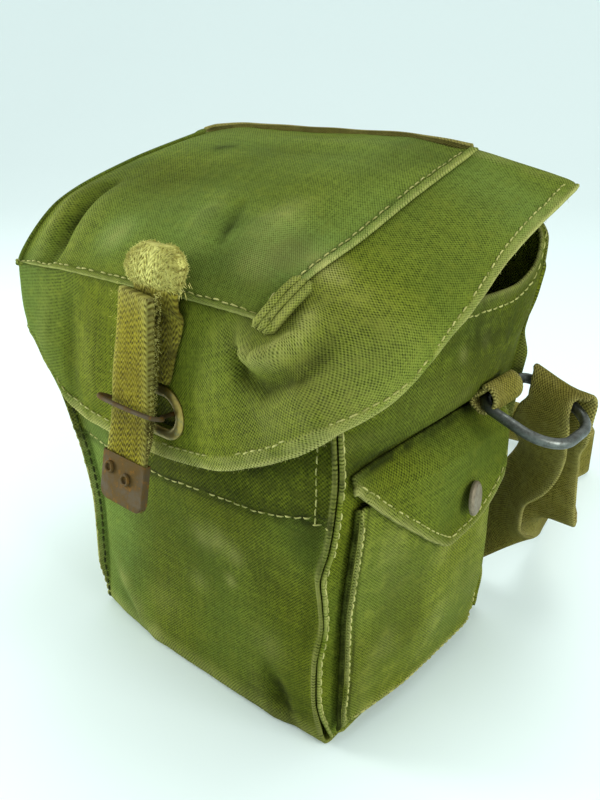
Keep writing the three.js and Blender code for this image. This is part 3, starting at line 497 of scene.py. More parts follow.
def metalLook(name, c):
    look, tree, shader = newLook(name)
    place = put(tree, "ShaderNodeTexCoord").outputs["Object"]
    wide = lumps(tree, place, c["scale"], 4, 0.6)["Fac"]
    small = lumps(tree, place, c["scale"] * 5, 5, 0.7)["Fac"]
    spread = span(tree,
                  calc(tree, "ADD", calc(tree, "MULTIPLY", wide, 0.6), calc(tree, "MULTIPLY", small, 0.4)),
                  c["from"], c["to"])
    colour = blendColour(tree, spread, c["bare"], c["dull"])
    colour = blendColour(tree, span(tree, small, 0.52, 0.7, 0, c["spots"]), colour, c["spot"])
    tree.links.new(colour, shader.inputs["Base Color"])
    tree.links.new(span(tree, spread, 0, 1, c["bareRough"], c["dullRough"]), shader.inputs["Roughness"])
    tree.links.new(span(tree, spread, 0, 1, c["metal"], c["dullMetal"]), shader.inputs["Metallic"])
    shader.inputs["Specular IOR Level"].default_value = c.get("shine", 0.5)
    bump = put(tree, "ShaderNodeBump",
               {"Strength": c["relief"], "Distance": 0.0003, "Height": small}).outputs[0]
    tree.links.new(bump, shader.inputs["Normal"])
    return look


ringSteel = metalLook("ringSteel", {
    "scale": 90, "from": 0.36, "to": 0.62, "bare": rgb(0.15, 0.165, 0.15), "dull": rgb(0.065, 0.072, 0.064),
    "spot": rgb(0.05, 0.045, 0.035), "spots": 0.5, "bareRough": 0.36, "dullRough": 0.5, "metal": 1.0,
    "dullMetal": 0.85,
    "relief": 0.25})
rustySteel = metalLook("rustySteel", {
    "scale": 70, "from": 0.38, "to": 0.6, "bare": rgb(0.07, 0.052, 0.026), "dull": rgb(0.085, 0.05, 0.011),
    "shine": 0.15,
    "spot": rgb(0.2, 0.085, 0.006), "spots": 0.6, "bareRough": 0.7, "dullRough": 0.95, "metal": 0.1,
    "dullMetal": 0.0,
    "relief": 0.6})
eyeletBrass = metalLook("eyeletBrass", {
    "scale": 80, "from": 0.4, "to": 0.66, "bare": rgb(0.36, 0.28, 0.075), "dull": rgb(0.17, 0.135, 0.035),
    "spot": rgb(0.16, 0.2, 0.12), "spots": 0.6, "bareRough": 0.34, "dullRough": 0.6, "metal": 0.95,
    "dullMetal": 0.7,
    "relief": 0.3})
studMetal = metalLook("studMetal", {
    "scale": 110, "from": 0.35, "to": 0.6, "bare": rgb(0.25, 0.215, 0.145), "dull": rgb(0.16, 0.13, 0.08),
    "spot": rgb(0.09, 0.07, 0.045), "spots": 0.5, "bareRough": 0.42, "dullRough": 0.6, "metal": 0.7,
    "dullMetal": 0.4,
    "relief": 0.25})
print("looks ready")


# body: one strip makes front, bottom and back, with seam lips along both edges
bodyWrap = {
    "thick": 1.6, "lip": 4.5, "gap": 0.4, "facingLift": 0.7,
    "rows": table("at y z left right belly",
                  (12, -74, 156, -77, 78.5, 1), (30, -73.5, 138, -76, 78.5, 2), (62, -70, 106, -74, 75.5, 4),
                  (108, -66, 60, -71.5, 71, 5), (150, -65, 18, -72, 70.5, 5.5), (160, -65, 8, -72, 71, 5.5),
                  (165, -64.5, 2.5, -72.5, 71.5, 5), (169, -61.5, 0.3, -72.5, 71.5, 3),
                  (176, -54, 0, -72, 71, 0),
                  (228, 0, 0, -71, 70, 0), (280, 52, 0, -71, 70, 0), (288, 60, 1.5, -71, 70, 0.5),
                  (296, 64, 8, -71, 70, 1.5), (306, 65.5, 18, -71, 70.5, 2.5), (348, 66, 60, -72, 72, 4),
                  (428, 64, 140, -77, 76, 4), (479, 59, 190, -84, 83, 3), (511, 50, 222.3, -92, 50, 0)),
    "facing": table("at z", (-80, 99), (-13, 101), (14, 103), (41, 105), (60, 108.5), (70, 112)),
    "folds": table("ax ay az bx by bz wide deep",
                   (-56, -68, 34, -30, -70, 6, 6, 1.6), (-60, -68, 18, -38, -70, 2, 5, -1.2),
                   (46, -69, 26, 56, -68, 4, 4, -2.4), (38, -69, 20, 46, -69, 2, 6, 1.4),
                   (5, -72, 76, 30, -71, 78, 9, 1.0), (-8, -72, 60, 24, -72, 88, 16, -1.2),
                   (30, -72, 90, 64, -70, 60, 14, -1.3), (-50, -70, 90, -30, -71, 50, 18, -1.5),
                   (60, 66, 60, 20, 70, 100, 16, -1.5), (-50, 68, 120, -10, 70, 60, 18, -1.6),
                   (30, 68, 170, 60, 66, 120, 14, 1.5)),
}
wrap = columnsOf(bodyWrap["rows"])
facingLine = curveOf(bodyWrap["facing"], "z")


def wrapAt(at):
    here = {k: f(at) for k, f in wrap.items()}
    dy = wrap["y"](at + 0.5) - wrap["y"](at - 0.5)
    dz = wrap["z"](at + 0.5) - wrap["z"](at - 0.5)
    here["out"] = unit(vec(0, dz, -dy))
    foot = rise((at - 140) / 26) * rise((316 - at) / 26)
    here["lip"] = mix(bodyWrap["lip"], 1.6, foot)
    here["spread"] = 1 - foot
    return here


def seamSway(z, corner):  # the lips of a seam wander together
    line = vec(0 * z, 0 * z, z)
    return 1.5 * noiseAt(line, 34, corner) + 0.6 * noiseAt(line, 13, corner + 5)


cornerRows = table("at shift", (0, -1.5), (16, -4.2), (31, -5.6), (48, -5.3), (57, -4.2), (66, -3.1),
                   (76, -3.6), (86, -4.4), (93, -3.2), (99, -1.8),
                   (107, -1.0), (119, -0.4), (137, 0), (160, 0))
cornerShift = curveOf(cornerRows, "shift")


slouchRows = table("at shift", (0, -4), (20, -10), (35, -14), (60, -17), (90, -16), (118, -11), (145, -6),
                   (168, -2.5), (190, 0), (230, 0))
slouch = curveOf(slouchRows, "shift")  # right back corner, drawn forward by the hanging sling


def tuckIn(z):  # share of the right back lip that still stands out
    return 1 - 0.82 * (rise((z - 138) / 14) + rise((98 - z) / 14))


leftRows = table("at shift", (0, 0), (20, 1.5), (45, 3.5), (70, 5), (90, 5), (107, 2.5), (125, 0), (200, 0))
leftShift = curveOf(leftRows, "shift")  # front left corner, drawn in below the flap


def makeBodyWrap():
    at = np.concatenate([np.linspace(12, 150, 76), np.linspace(151, 180, 30), np.linspace(184, 276, 40),
                         np.linspace(279, 310, 30), np.linspace(312, 511, 96)])[:, None]
    u = np.concatenate([[0] * 5, np.linspace(0, 1, 84)[1:-1], [1] * 5])[None]
    part = np.concatenate([[1, 0.7, 0.4, 0.15, 0], [0] * 82, [0, 0.15, 0.4, 0.7, 1]])[None]
    sign = np.where(u < 0.5, -1.0, 1.0)
    here = wrapAt(at)
    p = vec(mix(here["left"], here["right"], u), here["y"], here["z"])
    p = p + here["out"] * (here["belly"] * dome(u, 2.6))[..., None]
    p[..., 2] = np.maximum(p[..., 2], 0)
    turn = unit(vec(sign, 0 * sign, 0 * sign) + here["out"] * here["spread"][..., None])
    tuck = np.where((at > 230) & (u > 0.5), tuckIn(here["z"]), 1.0)
    p = p + turn * (here["lip"] * part * tuck)[..., None]
    free = here["spread"] * rise((200 - here["z"]) / 30)
    near = np.exp(-((1 - np.abs(2 * u - 1)) / 0.06))
    front = at < 176
    for side, seed in ((-1, 2), (1, 3)):
        sway = np.where(at > 176, seamSway(here["z"], seed + 4), seamSway(here["z"], seed))
        p = p + (vec(sway, 0 * sway, 0 * sway) * (near * free * (sign == side))[..., None])
    shift = cornerShift(here["z"]) * front * (u > 0.5) * np.exp(-((1 - np.abs(2 * u - 1)) / 0.22))
    p = p + vec(0.75 * shift, 0.66 * shift, 0 * shift)
    p[..., 0] += leftShift(here["z"]) * front * (u < 0.5) * np.exp(-((1 - np.abs(2 * u - 1)) / 0.22))
    p[..., 1] += slouch(here["z"]) * (at > 230) * rise((u - 0.35) / 0.65)
    inside = rise((1 - np.abs(2 * u - 1)) / 0.1) * (part == 0)
    overFacing = rise((p[..., 2] - facingLine(p[..., 0])) / 0.9) * front
    p[..., 1] -= bodyWrap["facingLift"] * overFacing * (part == 0)
    p, press = pressFolds(p, -1, bodyWrap["folds"])
    n = normalsOf(p, -1)
    flatFoot = (at > 170) & (at < 286)
    soft = 0.9 * noiseAt(p, 46, 1) + 0.35 * noiseAt(p, 15, 2) + 0.12 * noiseAt(p, 5, 3)
    p = p + n * (soft * inside * ~flatFoot)[..., None]
    low = p[..., 2] < 4
    p[..., 2] = np.where(low, np.maximum(p[..., 2], 0), p[..., 2])
    edge = np.abs(part)
    wear = (0.5 * edge * rise((noiseAt(p, 9, 18) + 0.9) / 1.2) + 0.35 * np.exp(-((at - 164) / 5) ** 2)
            + spotsOn(p, bodyMarks["rubs"]))
    # painted light and shade on the front: darker towards the right and paler at the left end, as light falls
    # from the left; the band above the facing seam is painted dark as shade under the flap, with a painted
    # shade line just below the seam
    dirtAndShade = (0.3 * rise((noiseAt(p, 30, 8) - 0.2) / 0.5) + 0.38 * front * rise((p[..., 0] + 56) / 40)
            + 0.32 * front * (p[..., 2] > facingLine(p[..., 0]))
            + 0.5 * np.exp(-((p[..., 2] - facingLine(p[..., 0]) + 2) / 2) ** 2) * front)
    fade = np.clip(0.05 + 0.3 * noiseAt(p, 38, 9)
                   + front * (0.8 * rise((-18 - p[..., 0]) / 34) - 0.5 * rise((-66 - p[..., 0]) / 9))
                   - 0.4 * (p[..., 2] > facingLine(p[..., 0])) * front, 0, 0.8)
    coarse = np.where((p[..., 2] > facingLine(p[..., 0])) & front, 0.8, 1.0)
    uv = np.stack(np.broadcast_arrays(p[..., 0] * coarse, at * coarse), -1)
    marks = foldMarks(wear, dirtAndShade, fade, press)
    return clothShell("body_front_back", p, bodyWrap["thick"], -1, oliveCanvas, uv, marks)


bodyMarks = {"rubs": table("x y z size much", (10, -72, 78, 6, 0.35), (20, -72, 81, 6, 0.35),
                           (29, -71, 77, 5, 0.35),
                           (25, -71, 62, 3, 0.5), (-52, -68, 26, 5, 0.35), (-40, -69, 16, 5, 0.35),
                           (-28, -70, 8, 5, 0.35),
                           (46, -70, 40, 8, 0.2), (-20, -70, 30, 10, 0.15), (5, -71, 52, 5, 0.25))}
bodyPiece = makeBodyWrap()
print("body strip made")


# side panels: sewn to the strip with their own lips, swelling over the pocket
sidePanels = {
    "foot": 3.6, "shares": 70, "heights": 150, "mouthHem": 6.5,
    "swell": table("at right left", (0, 1, 1), (40, 2, 4), (100, 2, 6), (122, 1, 5), (129.5, -0.8, 2),
                   (131.5, 0.6, 2),
                   (134, 4.2, 2.2), (139, 6.6, 2.6), (147, 7.9, 4.6), (155, 8.1, 6), (166, 7, 6),
                   (177, 5, 4), (205, 3, 2)),
    "mouth": table("at z", (0, 158), (0.2, 169), (0.5, 178), (0.75, 177), (0.9, 181), (1, 200)),
    "folds": table("ax ay az bx by bz wide deep",
                   (86, -50, 150, 88, 20, 146, 9, 1.0), (88, -20, 166, 86, 30, 160, 7, -0.9),
                   (84, 40, 150, 84, 56, 176, 7, 1.2),
                   (-82, -30, 60, -82, 30, 110, 16, -2), (-86, 30, 150, -84, -40, 130, 12, -1.5)),
}
swell = columnsOf(sidePanels["swell"])
mouthLine = curveOf(sidePanels["mouth"], "z")
inset = math.sqrt(2) * bodyWrap["thick"] + bodyWrap["gap"]
frontAts, backAts = np.linspace(12, 176, 1500), np.linspace(280, 511, 1500)
frontZs, backZs = wrap["z"](frontAts), wrap["z"](backAts)


def sideAt(sign, u, z):
    z = np.asarray(z, float)
    front = wrapAt(np.interp(z, frontZs[::-1], frontAts[::-1]))
    back = wrapAt(np.interp(z, backZs, backAts))
    key = "right" if sign > 0 else "left"
    x = mix(front[key], back[key], u) + sign * (inset + swell[key](z) * dome(u, 2.4))
    soften = inset + 2.6 * rise((20 - z) / 18)
    return front, back, vec(x, mix(front["y"] + soften, back["y"] - soften, u), z)


def makeSide(name, sign):
    inner = np.linspace(0, 1, sidePanels["shares"])
    u = np.concatenate([[0] * 4, inner, [1] * 4])[None]
    part = np.concatenate([[1, 0.7, 0.4, 0.15], inner * 0, [0.15, 0.4, 0.7, 1]])[None]
    h = np.linspace(0, 1, sidePanels["heights"])[:, None] ** 0.92
    top = mouthLine(u)
    z = mix(sidePanels["foot"], top, h)
    front, back, p = sideAt(sign, u, z)
    for end, seam, seed in ((0, front, 3 if sign > 0 else 2), (1, back, 7 if sign > 0 else 6)):
        here = u == end
        d = unit(vec(sign + 0 * z, 0 * z, 0 * z) + seam["out"] * seam["spread"][..., None])
        size = (seam["lip"] * seam["spread"] + 0.6) * part * here
        if sign > 0 and end == 1:
            size = size * tuckIn(z)
        p = p + d * size[..., None]
        free = seam["spread"] * rise((200 - z) / 30)
        near = np.exp(-np.abs(u - end) / 0.03)
        sway = seamSway(z, seed) * near * free
        p = p + vec(sway, 0 * sway, 0 * sway)
    if sign > 0:
        shift = cornerShift(z) * np.exp(-u / 0.045)
        p = p + vec(0.75 * shift, 0.66 * shift, 0 * shift)
        p[..., 1] += slouch(z) * u ** 2
    else:
        p[..., 0] += leftShift(z) * np.exp(-u / 0.05)
    p, press = pressFolds(p, sign, sidePanels["folds"])
    n = normalsOf(p, sign)
    inside = rise(np.minimum(u, 1 - u) / 0.06) * (part == 0)
    toMouth = top - z
    hem = rise((sidePanels["mouthHem"] - toMouth) / 1.2) * (part == 0)
    pucker = 0.25 * np.sin(u * 190) * np.exp(-((toMouth - sidePanels["mouthHem"]) / 2) ** 2)
    clear = rise((z - 132) / 8) if sign > 0 else 1  # stays flat behind the pocket
    soft = (0.7 * noiseAt(p, 40, 4) + 0.3 * noiseAt(p, 13, 5)) * clear
    p = p + n * ((soft + 0.7 * hem + pucker) * inside)[..., None]
    wear = (0.5 * part * rise((noiseAt(p, 9, 18) + 0.9) / 1.2) + 0.6 * np.exp(-toMouth / 1.6)
            + 0.2 * rise(noiseAt(p, 12, 6) - 0.2))
    wear = wear + spotsOn(p, table("x y z size much", (88, -9, 159, 3, 0.5), (88, 8, 160, 3, 0.4)))
    # above the crease at z 131 the panel is darker; on the right side a dark line is painted along the crease
    # as the shadow under the bulge
    dirtAndShade = (0.58 * rise((z - 131) / 6) + 0.9 * np.exp(-((z - 131) / 3.4) ** 2) * (sign > 0)
            + 0.25 * rise(noiseAt(p, 25, 7)))
    fade = np.clip(0.15 + 0.3 * noiseAt(p, 36, 10), 0, 0.6)
    uv = np.stack([p[..., 1], p[..., 2]], -1)
    marks = foldMarks(wear, dirtAndShade, fade, press)
    return clothShell(name, p, bodyWrap["thick"], sign, oliveCanvas, uv, marks)


rightSide = makeSide("side_right", 1)
leftSide = makeSide("side_left", -1)
print("side panels made")


# flap: top panel and the skirt that hangs round its front and sides
flap = {
    "thick": 1.6, "hem": 6.4, "crown": 6,
    "rows": table("at rimX rimY rimZ hemX hemY hemZ belly",
                  (0, -101, 40, 224.5, -104, 44, 184, 2), (1, -100, -12, 213.5, -105, -12, 174, 3),
                  (2, -98, -53, 200, -100, -57, 158, 3), (3, -90, -80, 178.5, -78, -82, 144, 2),
                  (4, -50, -80, 181, -57, -82, 120, 3), (5, -15, -80, 182, -18, -81.5, 115, 1),
                  (6, 20, -80, 183, 22, -82, 119, 2), (7, 44, -80, 183, 57, -83, 132, 4),
                  (8, 55, -77, 181, 87, -82, 152, 7), (9, 55, -60, 191, 94, -56, 161, 11),
                  (10, 55, -30, 200, 94, -24, 175, 8), (11, 55, 5, 212, 92, 20, 195, 4),
                  (12, 54, 47, 224, 91, 68, 211, 2)),
    "back": table("at x y z", (0, -101, 40, 224.5), (0.15, -77, 48.5, 226), (0.5, -24, 50.4, 226),
                  (0.75, 15, 50.4, 226.5), (1, 54, 47, 224)),
    "skirtFolds": table("ax ay az bx by bz wide deep",
                        (-50, -82, 166, -53, -84, 124, 5, -2.2), (-38, -82, 164, -38, -83, 132, 6, 1.5),
                        (-66, -82, 166, -70, -82, 140, 6, 1.4), (47, -83, 166, 60, -86, 140, 7, -1.6),
                        (47, -83, 172, 55, -84, 170, 3.4, 4.2), (55, -84, 170, 63, -84, 172.5, 3.4, 5.4),
                        (63, -84, 172.5, 68, -78, 181, 3.4, 5.4), (68, -78, 181, 67, -68, 189, 3.2, 4.0),
                        (43, -83, 173, 48, -84, 163, 3.6, -3.4), (48, -84, 163, 60, -86, 161, 3.6, -3.6),
                        (60, -86, 161, 73, -82, 168, 3.6, -3.4), (73, -82, 168, 75, -70, 180, 4, -3.0),
                        (30, -81, 176, 34, -83, 130, 9, 1.0),
                        (78, -60, 176, 92, -40, 172, 9, 1.2)),
    "topFolds": table("ax ay az bx by bz wide deep",
                      (-76, -40, 208, -68, -78, 183, 4.2, -5.0), (-86, -44, 206, -80, -76, 184, 6, 2.4),
                      (-62, -44, 207, -56, -76, 186, 7, 1.6),
                      (5, -40, 209, 18, -62, 199, 3.0, -3.0), (-6, -40, 209, 10, -64, 198, 7, 1.6),
                      (32, -66, 194, 27, -30, 208, 6, 2.2), (44, -64, 194, 40, -30, 206, 6, -1.6),
                      (-50, 10, 221, 20, 20, 224, 9, -1.2), (-30, 28, 225, 30, 34, 227, 6, 0.9),
                      (-60, -20, 212, -20, -50, 205, 16, -1.5)),
}
flapRun = columnsOf(flap["rows"])
backEdge = columnsOf(flap["back"])


def rimAt(at):
    return vec(flapRun["rimX"](at), flapRun["rimY"](at), flapRun["rimZ"](at))


def hemAt(at):
    return vec(flapRun["hemX"](at), flapRun["hemY"](at), flapRun["hemZ"](at))


def skirtAt(at, s):
    rim, hem = rimAt(at), hemAt(at)
    along = rimAt(at + 0.05) - rimAt(at - 0.05) + hemAt(at + 0.05) - hemAt(at - 0.05)
    out = unit(np.cross(along, np.array([0, 0, 1.0])))
    t = mix(0.7 / np.linalg.norm(rim - hem, axis=-1), 1, s)
    belly = flapRun["belly"](at) * 6.75 * t * t * (1 - t)
    return rim + (hem - rim) * t[..., None] + out * belly[..., None]


def makeSkirt():
    at = np.linspace(0, 12, 260)[None]
    s = np.concatenate([np.linspace(0, 0.8, 26)[:-1], np.linspace(0.8, 1, 16)])[:, None]
    p = skirtAt(at + 0 * s, s + 0 * at)
    p, press = pressFolds(p, -1, flap["skirtFolds"])
    n = normalsOf(p, -1)
    deep = np.linalg.norm(hemAt(at) - rimAt(at), axis=-1)
    toHem = (1 - s) * deep
    toEnd = np.minimum(at * 48, (12 - at) * 46)
    hem = np.maximum(rise((flap["hem"] - toHem) / 1.0), rise((flap["hem"] - toEnd) / 1.0))
    groove = np.exp(-((toHem - 2.1) / 0.5) ** 2)
    pucker = np.sin(at * 62) * np.exp(-((toHem - flap["hem"]) / 2.2) ** 2)
    calm = rise(toHem / 6) * 0.75 + 0.25
    soft = (0.8 * noiseAt(p, 34, 11) + 0.3 * noiseAt(p, 12, 12)) * calm * rise(s / 0.2)
    wave = 0.5 * noiseAt(p, 9, 13) * rise((8 - toHem) / 8)
    p = p + n * (0.8 * hem - 0.5 * groove + 0.22 * pucker + soft + wave)[..., None]
    wear = 0.85 * np.exp(-toHem / 1.3) + 0.3 * hem * rise((noiseAt(p, 8, 14) + 0.8) / 1.2)
    wear = wear + spotsOn(p, flapMarks["rubs"])
    light = rise((at - 6.3) / 1.2) * rise((9.6 - at) / 1.5)  # threads rubbed bare on the front right
    wear = wear + 0.2 * light * rise((noiseAt(p, 22, 15) + 0.9) / 1.4)
    # painted light and shade: the eye spot is painted shade at the eyelet's right end, a band just under the
    # top's lip is painted shade, the right wing darkens towards the back, and the left end is painted paler
    # as light from the left
    dirtAndShade = (spotsOn(p, flapMarks["eye"]) + 0.4 * np.exp(-s * deep / 2.5)
            + 0.18 * rise((noiseAt(p, 28, 16) - 0.1) / 0.5) + 0.16 * rise((at - 9.2) / 1.2))
    fade = np.clip(0.15 + 0.3 * noiseAt(p, 33, 17) + 0.55 * rise((4.4 - at) / 1.6)
                   + 0.35 * rise((at - 9) / 2), 0, 0.8)
    run = np.cumsum(np.concatenate([[0], np.linalg.norm(np.diff(p[20], axis=0), axis=1)]))[None]
    uv = np.stack(np.broadcast_arrays(run, toHem), -1)
    marks = foldMarks(wear, dirtAndShade, fade, press)
    thick = flap["thick"] + 1.2 * hem
    return clothShell("flap_skirt_cloth", p, thick, -1, oliveCanvas, uv, marks)


# the eye spot paints shade on the cloth at the eyelet's right end, beside the strap
flapMarks = {"eye": table("x y z size much", (9, -83, 136.5, 5, 1.2)),
             "rubs": table("x y z size much", (58, -49, 193, 6, 0.55), (69, -52, 185, 12, 0.15),
                           (45, -80, 172, 9, 0.2),
                           (-36, -67, 195, 7, 0.35), (44, -54, 199, 10, 0.35), (40, -66, 194, 7, 0.3),
                           (30, -40, 206, 9, 0.15)),
             "blue": table("x y z size much", (-36, -67, 195, 9, 0.9), (44, -54, 199, 13, 0.5),
                           (10, -60, 200, 20, 0.2)),
             # the first two stain spots are a real stain; the last two are painted shade in the crease
             # grooves
             "stainsAndCreaseShade": table("x y z size much", (-51, 5, 222, 3.5, 0.9), (-47, 8, 223, 2.5, 0.6),
                            (16, -54, 203, 4, 0.35),
                            (-72, -60, 196, 6, 0.3))}


def topAt(u, v):
    back = vec(backEdge["x"](u), backEdge["y"](u), backEdge["z"](u))
    w = [q[..., None] for q in (u, v)]
    p = rimAt(3 + 5 * u) * (1 - w[1]) + back * w[1] + rimAt(3 - 3 * v) * (1 - w[0]) + rimAt(8 + 4 * v) * w[0]
    p = p - rimAt(3.0) * (1 - w[0]) * (1 - w[1]) - rimAt(8.0) * w[0] * (1 - w[1])
    p = p - rimAt(0.0) * (1 - w[0]) * w[1] - rimAt(12.0) * w[0] * w[1]
    away = p - np.array([-22, -15, 204])
    away[..., 2] = 0
    edge = np.maximum(np.abs(2 * u - 1), 1 - 2 * v)
    p = p + unit(away) * (1.6 * rise((edge - 0.8) / 0.2))[..., None]
    p[..., 2] += flap["crown"] * dome(u, 3) * dome(v, 3)
    return p


def makeTop():
    run = np.linspace(0, 1, 90)
    fine = np.concatenate([[0, 0.006, 0.012, 0.019, 0.026, 0.034], run[(run > 0.04) & (run < 0.96)],
                           [0.966, 0.974, 0.981, 0.988, 0.994, 1]])
    u, v = fine[None] + 0 * fine[:, None], fine[:, None] + 0 * fine[None]
    p = topAt(u, v)
    p, press = pressFolds(p, 1, flap["topFolds"])
    n = normalsOf(p, 1)
    across = np.linalg.norm(p[:, -1] - p[:, 0], axis=-1)[:, None]
    along = np.linalg.norm(p[-1] - p[0], axis=-1)[None]
    right, left, front = (1 - u) * across, u * across, v * along
    seam = np.minimum(right, front)
    lip = rise((4.2 - seam) / 1.2)
    roll = rise((26 - left) / 26) ** 2
    pleat = rise((8.5 - right) / 1.5) * rise((22 - front) / 5)
    lines = np.cos(right * 2.2) * pleat
    inside = rise(np.minimum(seam, left + 2) / 10)
    pucker = 0.25 * np.sin((u * across + v * along) * 0.75) * np.exp(-((seam - 4.5) / 2.5) ** 2)
    soft = (1.0 * noiseAt(p, 42, 21) + 0.4 * noiseAt(p, 14, 22) + 0.15 * noiseAt(p, 6, 23)) * inside
    p = (p + n * (1.1 * lip * (right < 20) + 0.7 * lip * (right >= 20) + 0.6 * pleat - 2.2 * roll + soft
                  + pucker)[..., None])
    wear = (0.4 * np.exp(-seam / 1.2) + 0.1 * lip + 0.2 * pleat * rise(lines + 0.4)
            + spotsOn(p, flapMarks["rubs"]))
    # a dark line is painted along the seam, at the inner foot of the raised lip, as shade
    dirtAndShade = (spotsOn(p, flapMarks["stainsAndCreaseShade"]) + 0.3 * rise((noiseAt(p, 30, 24) - 0.15) / 0.5)
            + 0.55 * np.exp(-((seam - 4.9) / 0.9) ** 2))
    fade = np.clip(0.5 + 0.35 * noiseAt(p, 36, 25) + spotsOn(p, flapMarks["blue"]), 0, 0.9)
    uv = np.stack([u * across.mean(), v * along.mean()], -1)
    marks = foldMarks(wear, dirtAndShade, fade, press)
    return clothShell("flap_top_cloth", p, flap["thick"], 1, oliveCanvas, uv, marks)


def makeCornerFolds(piece):  # three folded edges lying side by side, sewn into the top
    start, end = np.array(cornerFolds["start"]), np.array(cornerFolds["end"])
    along = unit(end - start)
    across = unit(np.cross(along, np.array(cornerFolds["up"])))
    up = np.cross(across, along)
    parts = [piece]
    for k, shift in enumerate(cornerFolds["shifts"]):
        t = np.linspace(0, 1, 40)[:, None]
        a = np.linspace(0, math.pi, 13)[None]
        bow = np.sin(math.pi * t) * cornerFolds["bow"]
        wobble = 0.25 * noiseAt(vec(t * 30 + 0 * a, 7.0 * k + 0 * t + 0 * a, 0 * t + 0 * a), 4, 27)
        taper = rise(t / 0.08) * rise((1 - t) / 0.12)
        size = cornerFolds["radius"] * (0.35 + 0.65 * taper)
        p = start + along * (t * np.linalg.norm(end - start) + 0 * a)[..., None]
        p = p + across * (shift * (0.75 + 0.25 * taper) + size * np.cos(a) + wobble)[..., None]
        p = p + up * (bow + size * 1.5 * np.sin(a) - 0.9 + wobble)[..., None]
        frayed = np.clip(0.75 + 0.6 * np.exp(-t / 0.12)
                         + 0.5 * np.sin(a) ** 6 * rise((noiseAt(p, 3, 28) + 0.6) / 1.2), 0, 1)
        # the flanks of each roll are painted dark as shade between the rolls
        marks = {"wear": frayed, "dirtAndShade": np.clip(2.2 * (0.72 - np.sin(a)), 0, 0.95) + 0 * t,
                 "fade": 0.2 + 0 * t + 0 * a}
        uv = np.stack(np.broadcast_arrays(a * 2.2, t * 24), -1)
        parts.append(clothShell("corner_fold_%d" % k, p, 0.5, 1, oliveCanvas, uv, marks))
    bpy.ops.object.select_all(action="DESELECT")
    for q in parts:
        q.select_set(True)
    bpy.context.view_layer.objects.active = piece
    bpy.ops.object.join()


cornerFolds = {"start": (54, -81.5, 180), "end": (55.5, -61, 192.6), "up": (0.35, -0.6, 0.75),
               "shifts": (-0.9, 1.9, 4.7), "radius": 1.2,
               "bow": 1.2}
skirtPiece = makeSkirt()
topPiece = makeTop()
makeCornerFolds(topPiece)


def punchSlot(piece, slot):  # oblong hole for the eyelet
    onlyThis(piece)
    bpy.ops.object.select_all(action="DESELECT")
    bpy.ops.mesh.primitive_cylinder_add(vertices=48, radius=slot["tall"] * mm, depth=0.03,
                                        location=(slot["x"] * mm, -0.083, slot["z"] * mm),
                                        rotation=(math.pi / 2, 0, 0))
    cutter = bpy.context.object
    bpy.ops.object.transform_apply(location=False, rotation=True, scale=True)
    for v in cutter.data.vertices:
        v.co.x += math.copysign((slot["long"] - slot["tall"]) * mm, v.co.x)
    onlyThis(piece)
    cut = piece.modifiers.new("slot", "BOOLEAN")
    cut.object = cutter
    cut.operation = "DIFFERENCE"
    cut.solver = "EXACT"
    bpy.ops.object.modifier_apply(modifier=cut.name)
    bpy.data.objects.remove(cutter)


eyelet = {"x": -3, "z": 136.5, "halfLong": 20.7, "halfTall": 11, "band": 4.5, "thick": 2.6}
punchSlot(skirtPiece, {"x": eyelet["x"], "z": eyelet["z"], "long": eyelet["halfLong"] - eyelet["band"],
                       "tall": eyelet["halfTall"] - eyelet["band"]})
print("flap made")


# webbing along the back top edge
backTape = {"left": -103, "right": 52, "thick": 1.8}


def makeTape():
    u = np.linspace(0, 1, 90)[None]
    s = np.linspace(0, 1, 26)[:, None]
    at = mix(484, 509, np.clip(s / 0.8, 0, 1)) + 0 * u
    here = wrapAt(at)
    x = mix(backTape["left"], backTape["right"], u) + 0 * s
    share = (x - here["left"]) / (here["right"] - here["left"])
    p = vec(x, here["y"], here["z"]) + here["out"] * (here["belly"] * dome(share, 2.6) + 2.2)[..., None]
    top = np.clip((s - 0.8) / 0.2, 0, 1)
    share = np.clip((x + 101) / 155, 0, 1)
    upper = vec(x, backEdge["y"](share) + 2.6, backEdge["z"](share) + 2.0 * rise((x + 107) / 12)
                + 0.4 * noiseAt(p, 16, 32))
    p = p + vec(0 * x, 0.9 + 0.4 * noiseAt(p, 18, 31), 0 * x)
    p = mix(p, upper, (rise(s / 0.92) ** 2 + 0 * u)[..., None])
    uv = np.stack([x, s * 34 + 0 * u], -1)
    wear = 0.5 + np.exp(-(1 - s) * 34 / 1.5) + 0 * u + np.exp(-s * 34 / 1.5)
    marks = {"wear": np.clip(wear, 0, 1), "dirtAndShade": 0.2 * rise(noiseAt(p, 14, 33))}
    return clothShell("back_edge_tape", p, backTape["thick"], -1, khakiWebbing, uv, marks)


tapePiece = makeTape()


# pocket and its flap
pocket = {
    "front": -61, "back": 43, "foot": 8, "top": 113, "deep": 9.8, "thick": 1.6, "flapTop": 129,
    "flapFront": -65, "flapBack": 36.5,
    "hem": table("at z", (-64, 122.5), (-53, 111.5), (-36, 97), (-21, 85), (-10, 79), (7, 81), (22, 87.5),
                 (33, 99), (40, 111)),
    "folds": table("ax ay az bx by bz wide deep",
                   (86, -40, 70, 86, -20, 40, 12, -1.2), (87, 0, 60, 86, 30, 30, 12, -1.0),
                   (84, -52, 40, 84, -50, 16, 5, 0.8)),
}
pocketHem = curveOf(pocket["hem"], "z")


def rightFace(y, z):
    front, back = sideAt(1, 0 * z, z)[2][..., 1], sideAt(1, 0 * z + 1, z)[2][..., 1]
    return sideAt(1, np.clip((y - front) / (back - front), 0, 1), z)[2][..., 0]


